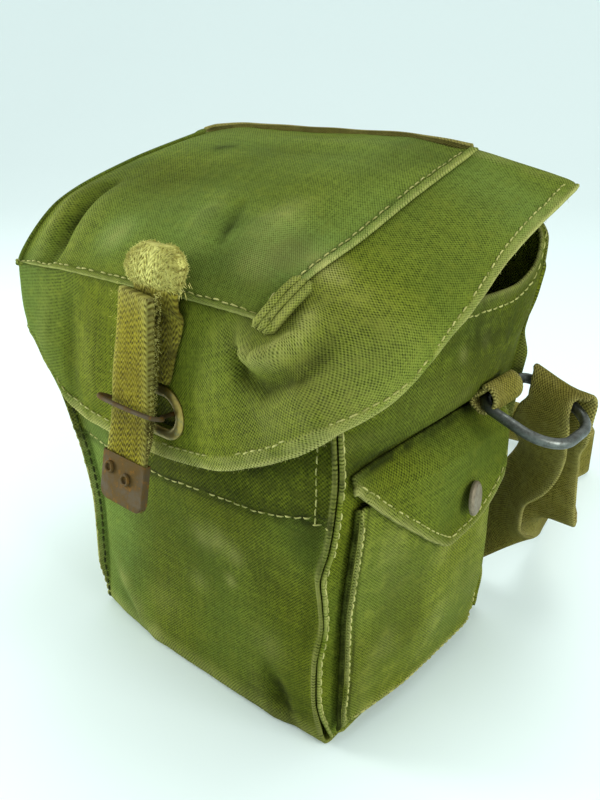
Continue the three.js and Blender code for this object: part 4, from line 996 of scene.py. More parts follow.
def pocketFace(y, z):
    u = np.clip((y - pocket["front"]) / (pocket["back"] - pocket["front"]), 0, 1)
    w = np.clip((z - pocket["foot"]) / (pocket["top"] - pocket["foot"]), 0, 1)
    full = rise((y - pocket["front"]) / 1.6) * mix(0.16, 1, rise((y - pocket["front"]) / 44))
    full = (full * rise((pocket["back"] - y) / 15) * rise((z - pocket["foot"]) / 1.6)
            * mix(0.4, 1, rise((z - pocket["foot"]) / 40)))
    full = full * mix(1, 0.75, w)
    return rightFace(y, z) + 0.55 + pocket["thick"] + pocket["deep"] * full


def makePocket():
    run = np.linspace(0, 1, 84)
    fine = np.unique(np.concatenate([run, np.linspace(0, 0.08, 30), np.linspace(0.9, 1, 16)]))
    y = mix(pocket["front"], pocket["back"], fine)[None] + 0 * fine[:, None]
    z = mix(pocket["foot"], pocket["top"], fine)[:, None] + 0 * fine[None]
    p = vec(pocketFace(y, z), y, z)
    p, press = pressFolds(p, 1, pocket["folds"])
    p[..., 1] -= 4 * rise((z - 16) / 84) * np.clip((y - 10) / 33, 0, 1) ** 2
    n = normalsOf(p, 1)
    fromFront, fromBack, fromFoot = y - pocket["front"], pocket["back"] - y, z - pocket["foot"]
    ridge = np.exp(-((fromFront - 1.9) / 1.1) ** 2) + 0.5 * np.exp(-((fromBack - 2.4) / 1.5) ** 2)
    ridge = ridge * rise(fromFoot / 5) + 0.35 * np.exp(-((fromFoot - 2.6) / 1.4) ** 2) * rise(fromFront / 4)
    inside = rise(np.minimum(np.minimum(fromFront, fromBack), fromFoot) / 14)
    under = rise((pocketHem(y) - 2 - z) / 8)  # calm where the flap lies on it
    soft = (0.9 * noiseAt(p, 36, 41) + 0.35 * noiseAt(p, 13, 42)) * inside * under
    p = p + n * (soft + 0.2 * ridge * noiseAt(p, 5, 43))[..., None]
    p[..., 1] -= 1.2 * np.exp(-((fromFront - 2.2) / 1.2) ** 2) * rise(fromFoot / 5) * under
    p[..., 0] += 2.0 * ridge * under * (1 + 0.2 * noiseAt(p, 12, 48))
    wear = (0.8 * np.clip(ridge, 0, 1) * rise((noiseAt(p, 9, 44) + 1.0) / 1.3) + 0.08
            + 0.14 * rise(noiseAt(p, 16, 45)))
    # painted shade: the front wall and the foot edge are painted dark as shade; a darker line runs just
    # behind the front ridge
    dirtAndShade = (rise((1.2 - fromFront) / 0.6) + 0.4 * np.exp(-fromFoot / 1.5)
            + 0.55 * np.exp(-((fromFront - 5.2) / 1.0) ** 2) + 0.25 * rise((noiseAt(p, 26, 46) - 0.1) / 0.5))
    fade = np.clip(0.1 + 0.25 * noiseAt(p, 34, 47), 0, 0.6)
    marks = foldMarks(wear, dirtAndShade, fade, press)
    return clothShell("pocket_cloth", p, pocket["thick"], 1, oliveCanvas, np.stack([y, z], -1), marks)


def makePocketFlap():
    u = np.linspace(0, 1, 110)[None]
    s = np.concatenate([np.linspace(0, 0.85, 34)[:-1], np.linspace(0.85, 1, 16)])[:, None]
    y = mix(pocket["flapFront"], pocket["flapBack"], u) + 0 * s
    z = mix(pocket["flapTop"], pocketHem(y), s)
    over = pocketFace(np.clip(y, pocket["front"], pocket["back"]), np.minimum(z, pocket["top"]))
    near = rightFace(y, z) + pocket["thick"] + 0.4
    t = rise((pocket["flapTop"] - z) / 12)
    p = vec(mix(near, np.maximum(near, over + pocket["thick"] + 0.8), t), y, z)
    slope = np.gradient(pocketHem(y[0]), y[0])[None]
    toHem = (z - pocketHem(y)) / np.sqrt(1 + slope ** 2)
    toHem = np.minimum(toHem, pocket["flapBack"] - y)
    n = normalsOf(p, -1)
    hem = rise((3.6 - toHem) / 0.9)
    pucker = np.sin(u * 170) * np.exp(-((toHem - 3.6) / 1.8) ** 2)
    soft = (0.7 * noiseAt(p, 30, 51) + 0.3 * noiseAt(p, 11, 52)) * rise((pocket["flapTop"] - z) / 10)
    lift = 0.9 * rise((14 - toHem) / 14)
    p = p + n * (np.maximum(soft, -0.3) + 0.6 * hem + 0.18 * pucker + lift)[..., None]
    front = np.exp(-(y - pocket["flapFront"]) / 3)
    wear = 0.8 * np.exp(-toHem / 1.1) + 0.15 * hem * rise((noiseAt(p, 7, 53) + 0.8) / 1.2) + 0.4 * front
    # painted shadow: the flap's top edge, tucked under the side panel's bulge, is painted dark; the flap is
    # also a little darker all over
    dirtAndShade = 0.2 + 0.8 * rise((z - 124) / 5) + 0.1 + 0.25 * rise(noiseAt(p, 22, 54))
    fade = np.clip(0.2 + 0.3 * noiseAt(p, 30, 55), 0, 0.6)
    marks = {"wear": np.clip(wear, 0, 1), "dirtAndShade": np.clip(dirtAndShade, 0, 1), "fade": fade}
    return clothShell("pocket_flap_cloth", p, pocket["thick"] + 0.6 * hem, -1, oliveCanvas,
                      np.stack([y, z], -1), marks)


pocketPiece = makePocket()
pocketFlapPiece = makePocketFlap()
print("pocket made")


# hard pieces, modelled in place

def placeHere(piece):
    onlyThis(piece)
    bpy.ops.object.transform_apply(location=True, rotation=True, scale=True)
    bpy.ops.object.shade_smooth_by_angle(angle=math.radians(40))


def dress(piece, name, look):
    piece.name = name
    piece.data.name = name
    piece.data.materials.clear()
    piece.data.materials.append(look)
    return piece


def bentWire(name, line, radius, look, closed=False):  # a wire pulled out point by point
    bpy.ops.object.select_all(action="DESELECT")
    spots = [Vector(p) * mm for p in line]
    bpy.ops.mesh.primitive_plane_add(size=0.001, location=spots[0])
    wire = bpy.context.object
    bpy.ops.object.transform_apply(location=True, rotation=True, scale=True)
    bpy.ops.object.mode_set(mode="EDIT")
    bpy.ops.mesh.select_mode(type="VERT")
    bpy.ops.mesh.select_all(action="SELECT")
    bpy.ops.mesh.merge(type="CENTER")
    for a, b in zip(spots, spots[1:]):
        bpy.ops.mesh.extrude_region_move(TRANSFORM_OT_translate={"value": b - a})
    if closed:
        bpy.ops.mesh.select_all(action="SELECT")
        bpy.ops.mesh.remove_doubles(threshold=0.00005)
    bpy.ops.object.mode_set(mode="OBJECT")
    bpy.ops.object.convert(target="CURVE")
    wire = bpy.context.object
    wire.data.bevel_depth = radius * mm
    wire.data.bevel_resolution = 5
    wire.data.use_fill_caps = not closed
    bpy.ops.object.convert(target="MESH")
    wire = bpy.context.object
    bpy.ops.object.mode_set(mode="EDIT")
    bpy.ops.mesh.select_all(action="SELECT")
    bpy.ops.mesh.remove_doubles(threshold=0.00001)
    bpy.ops.mesh.normals_make_consistent(inside=False)
    bpy.ops.object.mode_set(mode="OBJECT")
    placeHere(wire)
    return dress(wire, name, look)


ring = {"wire": 2.2, "half": 16.6, "long": 39.5, "bend": 15, "x": 103.6, "farY": 49.5, "z": 127.6,
        "slope": -0.35, "corner": 6.5}


def ringLine(sign):
    points = []
    nearY = ring["farY"] - ring["long"]
    wide, tight = ring["half"] - ring["bend"], ring["corner"] - ring["half"]
    for cx, cy, r, start, end, n in (
            (wide, ring["farY"] - ring["bend"], ring["bend"], 0.5, 0, 18),
            (wide, nearY + ring["bend"], ring["bend"], 0, -0.5, 18),
            (tight, nearY + ring["corner"], ring["corner"], -0.5, -1, 10),
            (tight, ring["farY"] - ring["corner"], ring["corner"], 1, 0.5, 10)):
        for t in np.linspace(start, end, n + 1):
            x, y = cx + r * math.cos(t * math.pi), cy + r * math.sin(t * math.pi)
            points.append((sign * (ring["x"] + x), y, ring["z"] + ring["slope"] * x))
    return points + points[:1]


rightRing = bentWire("ring_right", ringLine(1), ring["wire"], ringSteel, True)
leftRing = bentWire("ring_left", ringLine(-1), ring["wire"], ringSteel, True)

stud = {"radius": 7.1, "y": 1.5, "z": 96, "axis": (1, 0.26, 0.1)}


def makeStud():
    bpy.ops.object.select_all(action="DESELECT")
    bpy.ops.mesh.primitive_cylinder_add(vertices=56, radius=stud["radius"] * mm, depth=1.2 * mm)
    cap = bpy.context.object
    bpy.ops.object.mode_set(mode="EDIT")
    bpy.ops.mesh.select_mode(type="FACE")
    for inward, up in ((0.35, 0.35), (0.9, 0.55), (1.2, -0.1), (1.4, 0.12), (1.6, 0.12)):
        bpy.ops.object.mode_set(mode="OBJECT")
        top = max(p.center.z for p in cap.data.polygons)
        for p in cap.data.polygons:
            p.select = p.normal.z > 0.9 and p.center.length < 0.002 and p.center.z > top - 0.0002
        bpy.ops.object.mode_set(mode="EDIT")
        bpy.ops.mesh.inset(thickness=inward * mm, depth=up * mm)
    bpy.ops.object.mode_set(mode="OBJECT")
    soften = cap.modifiers.new("round", "BEVEL")
    soften.width = 0.2 * mm
    soften.segments = 2
    bpy.ops.object.modifier_apply(modifier=soften.name)
    y, z = np.array([stud["y"]], float), np.array([stud["z"]], float)
    foot = float((pocketFace(y, z) + pocket["thick"] + 0.8)[0])
    cap.rotation_mode = "QUATERNION"
    cap.rotation_quaternion = Vector(stud["axis"]).to_track_quat("Z", "Y")
    cap.location = Vector((foot + 2.6, stud["y"], stud["z"])) * mm
    placeHere(cap)
    return dress(cap, "stud_cap", studMetal)


studPiece = makeStud()


def makeEyelet():
    tall, band = eyelet["halfTall"], eyelet["band"]
    bpy.ops.object.select_all(action="DESELECT")
    bpy.ops.mesh.primitive_torus_add(major_segments=72, minor_segments=18,
                                     major_radius=(tall - band / 2) * mm,
                                     minor_radius=band / 2 * mm, rotation=(math.pi / 2, 0, 0))
    loop = bpy.context.object
    bpy.ops.object.transform_apply(location=False, rotation=True, scale=False)
    push = (eyelet["halfLong"] - tall) * mm
    for way in (-1, 1):
        bpy.ops.object.mode_set(mode="EDIT")
        bpy.ops.mesh.select_mode(type="VERT")
        bpy.ops.mesh.select_all(action="DESELECT")
        bpy.ops.object.mode_set(mode="OBJECT")
        for v in loop.data.vertices:
            v.select = v.co.x * way > 1e-6
        bpy.ops.object.mode_set(mode="EDIT")
        bpy.ops.transform.translate(value=(way * push, 0, 0))
        bpy.ops.object.mode_set(mode="OBJECT")
    bpy.ops.object.mode_set(mode="EDIT")
    bpy.ops.mesh.select_all(action="SELECT")
    bpy.ops.transform.resize(value=(1, eyelet["thick"] / band, 1), center_override=(0, 0, 0))
    bpy.ops.object.mode_set(mode="OBJECT")
    tree = surfaceOf(skirtPiece)
    spots = []
    for a in np.linspace(0, 2 * math.pi, 40):  # the cloth just under the loop, as a plane
        x = eyelet["x"] + (eyelet["halfLong"] - band / 2) * math.cos(a)
        z = eyelet["z"] + (tall - band / 2) * math.sin(a)
        hit = tree.ray_cast(Vector((x, -200, z)) * mm, Vector((0, 1, 0)))[0]
        spots.append((1, x, z, hit.y / mm))
    spots = np.array(spots)
    lean = np.linalg.lstsq(spots[:, :3], spots[:, 3], rcond=None)[0]
    for v in loop.data.vertices:
        x, z = v.co.x / mm + eyelet["x"], v.co.z / mm + eyelet["z"]
        y = v.co.y / mm + lean @ np.array([1, x, z]) - 0.25 * eyelet["thick"]
        v.co = Vector((x, y, z)) * mm
    loop.data.update()
    onlyThis(loop)
    bpy.ops.object.mode_set(mode="EDIT")
    bpy.ops.mesh.select_all(action="SELECT")
    bpy.ops.mesh.normals_make_consistent(inside=False)
    bpy.ops.object.mode_set(mode="OBJECT")
    placeHere(loop)
    return dress(loop, "eyelet_loop", eyeletBrass)


eyeletPiece = makeEyelet()


# sling: round the right ring, over the floor behind the bag and up to the left ring
sling = {
    "thick": 2.2,
    "rows": table("px py pz wx wy wz wide",
                  (74, 79.5, 25, 0.74, -0.1, 0.66, 30), (71.5, 78, 36, 0.86, -0.3, 0.4, 29),
                  (72.5, 75.5, 50, 0.85, -0.5, 0.12, 28), (77, 72, 66, 0.82, -0.55, 0, 27),
                  (88.5, 65.5, 84, 0.82, -0.55, -0.03, 30), (94.5, 53.5, 103, 0.97, -0.2, -0.16, 30),
                  (98.8, 45.5, 116, 1, -0.05, -0.3, 26), (101, 44.2, 125.5, 1, -0.05, -0.34, 19.5),
                  (101.3, 44.7, 129.6, 1, -0.05, -0.34, 19.5), (101.9, 46.4, 132.8, 1, -0.05, -0.34, 22),
                  (102.4, 49.4, 133.8, 1, -0.05, -0.34, 28), (102.8, 52.4, 132.2, 1, -0.05, -0.34, 30),
                  (103.2, 53.9, 128.6, 1, -0.05, -0.34, 30), (103, 54, 123, 1, -0.05, -0.33, 30),
                  (101.5, 57.5, 112, 1, -0.05, -0.28, 29), (97.5, 65.5, 99, 1, 0, -0.15, 25),
                  (93, 74.5, 84, 1, 0, -0.05, 28), (92, 77, 64, 1, 0, 0, 30), (91.6, 80.5, 51, 1, 0, 0.1, 30),
                  (88, 90, 46, 0.8, 0.1, 0.6, 30), (78, 108, 33, 0.3, 0.1, 0.95, 30),
                  (68, 136, 19.5, 0.05, 0, 1, 30), (61, 164, 17, 0, 0, 1, 30), (55, 192, 17, 0, 0, 1, 30),
                  (54.5, 214, 17, 0, 0, 1, 30), (56, 230, 17, 0, 0, 1, 30), (46, 241, 17, 0, 0, 1, 30),
                  (18, 242, 17, 0, 0, 1, 30), (-26, 236, 17, 0, 0, 1, 30), (-78, 212, 17, 0, 0, 1, 30),
                  (-114, 168, 17, 0, 0, 1, 30), (-126, 116, 22, -0.2, 0, 1, 30),
                  (-119, 80, 50, -0.75, 0, 0.6, 30), (-109, 60, 92, -1, 0, -0.05, 30),
                  (-104, 54.4, 118, -1, -0.05, -0.33, 30), (-103.2, 53.9, 128.6, -1, -0.05, -0.34, 30),
                  (-102.8, 52.4, 132.2, -1, -0.05, -0.34, 30), (-102.4, 49.4, 133.8, -1, -0.05, -0.34, 28),
                  (-101.9, 46.4, 132.8, -1, -0.05, -0.34, 22), (-101.3, 44.7, 129.6, -1, -0.05, -0.34, 19.5),
                  (-101, 44.2, 125.5, -1, -0.05, -0.34, 19.5), (-100.6, 44.3, 116, -1, -0.05, -0.3, 22),
                  (-101.5, 45.5, 100, -1, 0, -0.1, 26), (-103, 47.5, 80, -1, 0, 0, 29)),
}


def throughPoints(points, pitch):  # smooth line through the points, with its place along the table
    points = np.asarray(points, float)
    full = np.concatenate([[2 * points[0] - points[1]], points, [2 * points[-1] - points[-2]]])
    line, place = [], []
    for i in range(len(points) - 1):
        p0, p1, p2, p3 = full[i:i + 4]
        d0, d1, d2 = (max(np.linalg.norm(b - a), 1e-4) ** 0.5 for a, b in ((p0, p1), (p1, p2), (p2, p3)))
        t1 = ((p1 - p0) / d0 - (p2 - p0) / (d0 + d1) + (p2 - p1) / d1) * d1
        t2 = ((p2 - p1) / d1 - (p3 - p1) / (d1 + d2) + (p3 - p2) / d2) * d1
        count = max(3, int(np.linalg.norm(p2 - p1) / pitch))
        for t in np.arange(count) / count:
            line.append(p1 * (2 * t ** 3 - 3 * t * t + 1) + t1 * (t ** 3 - 2 * t * t + t)
                        + p2 * (3 * t * t - 2 * t ** 3) + t2 * (t ** 3 - t * t))
            place.append(i + t)
    return np.array(line + [points[-1]]), np.array(place + [len(points) - 1.0])


def makeSling():
    rows = sling["rows"]
    line, place = throughPoints([(r["px"], r["py"], r["pz"]) for r in rows], 2.6)
    ways = unit(np.array([(r["wx"], r["wy"], r["wz"]) for r in rows], float))
    i = np.minimum(place.astype(int), len(rows) - 2)
    across = unit(ways[i] + (ways[i + 1] - ways[i]) * rise(place - i)[:, None])
    broad = np.array([r["wide"] for r in rows], float)
    broad = mix(broad[i], broad[i + 1], rise(place - i))
    dirtAndShade = 0.25 * rise((noiseAt(line, 22, 61) - 0.1) / 0.5)[:, None]
    return strapMesh("sling_webbing", line, broad, sling["thick"], khakiWebbing, across, marks={"dirtAndShade": dirtAndShade})


slingPiece = makeSling()
slingEnd = {"sections": 14, "sides": 28, "lean": 0.72, "x": 74, "z": 46, "over": 24}
for v in slingPiece.data.vertices[:slingEnd["sides"] * slingEnd["sections"]]:  # the hanging end lies askew
    x, z = v.co.x / mm, v.co.z / mm
    share = float(rise((slingEnd["z"] - z) / slingEnd["over"]))
    v.co.z += slingEnd["lean"] * (x - slingEnd["x"]) * share * mm

chapes = {"front": 8.5, "back": 31.5, "thick": 2.2}


def makeChape(name, sign):
    wireX, wireZ = ring["x"] - ring["half"], ring["z"] - ring["slope"] * ring["half"]
    y = (chapes["front"] + chapes["back"]) / 2
    one = np.array([wireZ])
    face = (float(rightFace(np.array([y]), one)[0]) if sign > 0 else
            -float(sideAt(-1, np.array([0.7]), one)[2][0, 0]))
    thick, bend = chapes["thick"], 5.6
    foot, low, nose = face + 0.6 + thick / 2, wireZ - ring["wire"] - 0.35 - thick / 2, wireX + 1.5
    outline = [(foot, low + 5.2), (foot, low + 2.6), (foot + 4, low)]
    outline += [(nose + bend * math.cos(a), low + bend + bend * math.sin(a))
                for a in np.linspace(-math.pi / 2, math.pi / 2, 17)]
    outline += [(foot + 5, low + 9.5), (foot + 0.3, low + 5.6)]
    line = resample([(sign * x, y, z) for x, z in outline], 1.2)
    across = np.broadcast_to(np.array([0, 1.0, 0]), line.shape)
    dirtAndShade = 0.35 * rise(noiseAt(line, 12, 62))[:, None]
    return strapMesh(name, line, chapes["back"] - chapes["front"], thick, khakiWebbing, across,
                     marks={"dirtAndShade": dirtAndShade})


rightChape = makeChape("chape_right", 1)
leftChape = makeChape("chape_left", -1)
print("rings and sling made")


# closing strap: anchor band with its rolled, frayed end, the tongue and the steel tip
anchor = {
    "rows": table("at x y wide thick", (149, -1, 0, 24, 2.4), (162, 3, 0, 25.4, 2.4), (174, 7, 0, 25.4, 2.4),
                  (180, 8.5, -84.7, 22.5, 3.2), (185, 8.5, -84.8, 22.5, 3.8), (188, 8, -84.6, 25.5, 7),
                  (192, 7.5, -83.4, 27, 9),
                  (196.5, 7, -81.6, 23, 8), (199.5, 7, -80.5, 14, 4)),
}


def makeAnchor():
    run = columnsOf(anchor["rows"])
    tree = surfaceOf(skirtPiece)
    z = np.concatenate([np.linspace(149, 184, 44), np.linspace(184.6, 199.5, 34)])
    a = np.arange(56) / 56 * 2 * math.pi
    bend = lambda v: np.sign(v) * np.abs(v) ** 0.55
    rows = []
    for h in z:
        x = run["x"](h) + bend(np.cos(a)) / 2 * run["wide"](h)
        if h < 180:
            base = []
            for q in x:
                hit = tree.ray_cast(Vector((q * mm, -0.2, h * mm)), Vector((0, 1, 0)))[0]
                base.append(hit.y / mm if hit is not None and hit.y < -0.076 else -82)
            blend = rise((h - 174) / 6)
            y = mix(np.array(base) - 0.5 - run["thick"](h) / 2, -84.7, blend)
        else:
            y = run["y"](h)
        rows.append(vec(x, y + bend(np.sin(a)) / 2 * run["thick"](h), h + 0 * x))
    p = np.array(rows)
    knob = rise((p[..., 2] - 184.5) / 4)
    out = unit(p - p.mean(1, keepdims=True))
    p = p + out * ((0.9 * noiseAt(p, 6, 71) + 0.5 * noiseAt(p, 2.4, 72)) * (0.25 + 0.75 * knob))[..., None]
    p[..., 1] = np.where((p[..., 2] < 184) & (out[..., 1] > 0), np.minimum(p[..., 1], -82.3), p[..., 1])
    count, ringN = p.shape[:2]
    i, k = np.meshgrid(np.arange(count - 1), np.arange(ringN), indexing="ij")
    l = (k + 1) % ringN
    quads = np.stack([i * ringN + k, (i + 1) * ringN + k, (i + 1) * ringN + l, i * ringN + l],
                     -1).reshape(-1, 4)
    along = np.broadcast_to(z[:, None], (count, ringN))
    uv = np.stack([p[..., 0], along], -1).reshape(-1, 2)
    # painted shade: below the rolled end, where the band runs behind the tongue, it is painted dark in
    # blotches
    dirtAndShade = (0.7 * rise((184 - along) / 5) * rise((noiseAt(p, 8, 73) + 0.5) / 0.7)
            + 0.25 * rise(noiseAt(p, 4, 74) - 0.1))
    wear = 0.75 * knob + 0.1
    piece = meshFrom("anchor_band", p.reshape(-1, 3), quads, yellowWebbing, uv,
                     {"wear": np.clip(wear, 0, 1).ravel(), "dirtAndShade": np.clip(dirtAndShade, 0, 1).ravel()})
    closeEnds(piece)
    return piece, p


anchorPiece, anchorRows = makeAnchor()

tongue = {
    "wide": 25.4, "thick": 4,
    "rows": table("at x y z", (0, 4, -91.6, 186), (0.25, 1, -91.8, 166), (0.55, -3, -92, 141),
                  (0.75, -4.5, -94, 122),
                  (1, -5, -98.5, 100)),
}
tongueRun = columnsOf(tongue["rows"])


def tongueFrame(at):
    at = np.asarray(at, float)
    p = vec(tongueRun["x"](at), tongueRun["y"](at), tongueRun["z"](at))
    a, b = at - 0.02, at + 0.02
    down = unit(vec(0 * at, tongueRun["y"](b) - tongueRun["y"](a), tongueRun["z"](b) - tongueRun["z"](a)))
    out = -np.cross(np.array([1.0, 0, 0]), down)
    return p, down, unit(out)


def makeTongue():
    at = np.linspace(0, 1, 74)
    p, down, out = tongueFrame(at)
    line = p - out * tongue["thick"] / 2
    turn = np.radians(mix(12, 3, rise(at / 0.7)))
    across = vec(np.cos(turn), -np.sin(turn), 0 * turn)
    grime = 0.25 * rise((noiseAt(line, 14, 75) + 0.1) / 0.5)
    # the strap's right edge is painted dark as its shaded side; a darker band crosses the tongue just below
    # the staple's bar
    dirtAndShade = (grime + 0.3 * np.exp(-((at - 0.62) / 0.05) ** 2))[:, None]
    dirtAndShade = dirtAndShade + 0.75 * np.isin(np.arange(28), (11, 12, 13))[None]
    piece = strapMesh("strap_tongue", line, tongue["wide"], tongue["thick"], yellowWebbing, across, 0.7,
                      marks={"dirtAndShade": dirtAndShade, "wear": (0.3 * np.exp(-at / 0.05))[:, None]})
    for v in piece.data.vertices:  # upper edge dips to the left
        x, z = v.co.x / mm, v.co.z / mm
        v.co.z -= 4.3 * mm * min(max((16.7 - x) / 25.4, 0), 1) * float(rise((z - 150) / 36))
        front, _, away = tongueFrame(np.interp(z, (100, 122, 141, 166, 186), (1, 0.75, 0.55, 0.25, 0)))
        deep = float((np.array(v.co) / mm - front) @ away)
        v.co += Vector(away) * (-deep * 0.66 * float(rise((130 - z) / 12))) * mm
    return piece


tonguePiece = makeTongue()

tip = {"start": 0.79, "inside": 1.6, "slack": 0.15, "sheet": 0.6, "beyond": 1.2}


def makeTip():
    wide, thick = tongue["wide"] + 0.3, tip["inside"] + 2 * (tip["slack"] + tip["sheet"])
    top, _, out = tongueFrame(np.array(tip["start"]))
    end, _, _ = tongueFrame(np.array(1.0))
    tall = float(np.linalg.norm((top - end)[1:])) + tip["beyond"]
    bpy.ops.object.select_all(action="DESELECT")
    bpy.ops.mesh.primitive_cube_add(size=1)
    box = bpy.context.object
    box.scale = (wide * mm, thick * mm, tall * mm)
    bpy.ops.object.transform_apply(location=False, rotation=False, scale=True)
    bpy.ops.object.mode_set(mode="EDIT")
    bpy.ops.mesh.select_mode(type="EDGE")
    bpy.ops.mesh.select_all(action="DESELECT")
    bpy.ops.object.mode_set(mode="OBJECT")
    for e in box.data.edges:  # the two lower corners, seen from the front
        a, b = (box.data.vertices[i].co for i in e.vertices)
        e.select = abs(a.x - b.x) < 1e-6 and abs(a.z - b.z) < 1e-6 and a.z < 0
    bpy.ops.object.mode_set(mode="EDIT")
    bpy.ops.mesh.bevel(offset=4.2 * mm, segments=6, affect="EDGES")
    bpy.ops.mesh.select_mode(type="FACE")
    bpy.ops.mesh.select_all(action="DESELECT")
    bpy.ops.object.mode_set(mode="OBJECT")
    for p in box.data.polygons:
        p.select = p.normal.z > 0.9
    bpy.ops.object.mode_set(mode="EDIT")
    bpy.ops.mesh.inset(thickness=tip["sheet"] * mm, depth=-1.2 * mm)
    bpy.ops.object.mode_set(mode="OBJECT")
    soften = box.modifiers.new("soften", "BEVEL")
    soften.width = 0.5 * mm
    soften.segments = 3
    soften.limit_method = "ANGLE"
    soften.angle_limit = math.radians(50)
    bpy.ops.object.modifier_apply(modifier=soften.name)
    bpy.ops.object.mode_set(mode="EDIT")
    bpy.ops.mesh.select_all(action="SELECT")
    bpy.ops.mesh.subdivide(number_cuts=3)
    bpy.ops.transform.vertex_random(offset=0.12 * mm, uniform=0, normal=1, seed=3)
    bpy.ops.mesh.vertices_smooth(factor=0.5, repeat=2)
    bpy.ops.mesh.normals_make_consistent(inside=False)
    bpy.ops.object.mode_set(mode="OBJECT")
    run = end - top
    box.rotation_euler = (math.atan2(run[1], -run[2]), 0, 0)
    low = tip["beyond"] / 2 / np.linalg.norm(run[1:])
    middle = (top + end) / 2 + run * low - np.array([0, out[1], out[2]]) * tip["inside"] / 2
    box.location = Vector((float((top + end)[0] / 2), middle[1], middle[2])) * mm
    placeHere(box)
    return dress(box, "strap_end_plate", rustySteel)


tipPiece = makeTip()


def makeRivet(name, at, offset):
    p, down, out = tongueFrame(np.array(at))
    bpy.ops.object.select_all(action="DESELECT")
    bpy.ops.mesh.primitive_cylinder_add(vertices=32, radius=2.6 * mm, depth=0.7 * mm)
    eye = bpy.context.object
    bpy.ops.object.mode_set(mode="EDIT")
    bpy.ops.mesh.select_mode(type="FACE")
    bpy.ops.object.mode_set(mode="OBJECT")
    for f in eye.data.polygons:
        f.select = f.normal.z > 0.9
    bpy.ops.object.mode_set(mode="EDIT")
    bpy.ops.mesh.inset(thickness=0.5 * mm, depth=0.35 * mm)
    bpy.ops.mesh.inset(thickness=0.6 * mm, depth=-0.2 * mm)
    bpy.ops.mesh.extrude_region_move(TRANSFORM_OT_translate={"value": (0, 0, -0.75 * mm)})
    bpy.ops.object.mode_set(mode="OBJECT")
    soften = eye.modifiers.new("round", "BEVEL")
    soften.width = 0.15 * mm
    soften.segments = 2
    bpy.ops.object.modifier_apply(modifier=soften.name)
    spot = p + out * (tip["slack"] + tip["sheet"] + 0.6) + np.array([offset, 0, 0])
    eye.rotation_mode = "QUATERNION"
    eye.rotation_quaternion = Vector(out).to_track_quat("Z", "Y")
    eye.location = Vector(spot) * mm
    placeHere(eye)
    return dress(eye, name, rustySteel)


leftRivet = makeRivet("plate_rivet_left", 0.86, -7.6)
rightRivet = makeRivet("plate_rivet_right", 0.885, 2.6)

staple = {"left": -19, "right": 6, "z": 134, "barLeft": -20.5, "barRight": 14.5, "barZ": 139.5,
          "barY": -94, "wire": 0.9, "foot": -76.4}


def makeStaple():
    eyeY = -83.6
    s = staple
    points = [(s["right"], s["foot"], s["z"]), (s["right"], eyeY, s["z"] + 0.5),
              (s["barRight"] - 1, s["barY"] + 4, s["barZ"] - 1.5),
              (s["barRight"], s["barY"] + 1.5, s["barZ"] - 0.3), (s["barRight"] - 2, s["barY"], s["barZ"]),
              (s["barLeft"] + 2, s["barY"], s["barZ"]), (s["barLeft"], s["barY"] + 1.5, s["barZ"] - 0.3),
              (s["barLeft"], s["barY"] + 4, s["barZ"] - 1.5), (s["left"], eyeY, s["z"] + 0.5),
              (s["left"], s["foot"], s["z"])]
    line, _ = throughPoints(points, 0.9)
    return bentWire("staple_wire", line, s["wire"], rustySteel)


staplePiece = makeStaple()
print("closing strap made")


# stitches

def lineOnTop(u, v):
    u, v = np.broadcast_arrays(np.asarray(u, float), np.asarray(v, float))
    return topAt(u, v)


def gridLine(name, rowAt, colAt):  # points of a made panel along rows or columns
    rows = panels[name]
    tall, wide = rows.shape[:2]
    j = np.clip(np.round(np.asarray(rowAt)).astype(int), 0, tall - 1)
    i = np.clip(np.round(np.asarray(colAt)).astype(int), 0, wide - 1)
    j, i = np.broadcast_arrays(j, i)
    return rows[j, i]


run60 = np.linspace(0, 1, 120)
topLines = [lineOnTop(np.linspace(0.01, 0.99, 90), 0.034), lineOnTop(0.968, np.linspace(0.02, 0.98, 90)),
            lineOnTop(0.925, np.linspace(0.03, 0.16, 20))]
topStitches = sewLines("flap_top_stitches", topPiece, topLines, paleThread)
deepAt = np.linalg.norm(hemAt(run60 * 12) - rimAt(run60 * 12), axis=-1)
hemLine = skirtAt(run60 * 11.85 + 0.08, 1 - 5.6 / deepAt)
skirtStitches = sewLines("flap_hem_stitches", skirtPiece, [hemLine], paleThread)
facingX = np.linspace(-66, 71, 90)
facingPath = vec(facingX, -74 + 0 * facingX, facingLine(facingX) - 0.8)
bodyLines = [facingPath, [(71.5, -72, 108), (73, -73, 120), (74.5, -74.5, 136), (75, -74.5, 152)],
             [(69.5, -71, 108), (80, -74, 111)],
             gridLine("body_front_back", np.arange(0, 92), -3),
             gridLine("body_front_back", np.arange(160, 271), 2),
             gridLine("body_front_back", np.arange(160, 262), -3)]
bodyStitches = sewLines("body_stitches", bodyPiece, bodyLines, paleThread, 4.4)
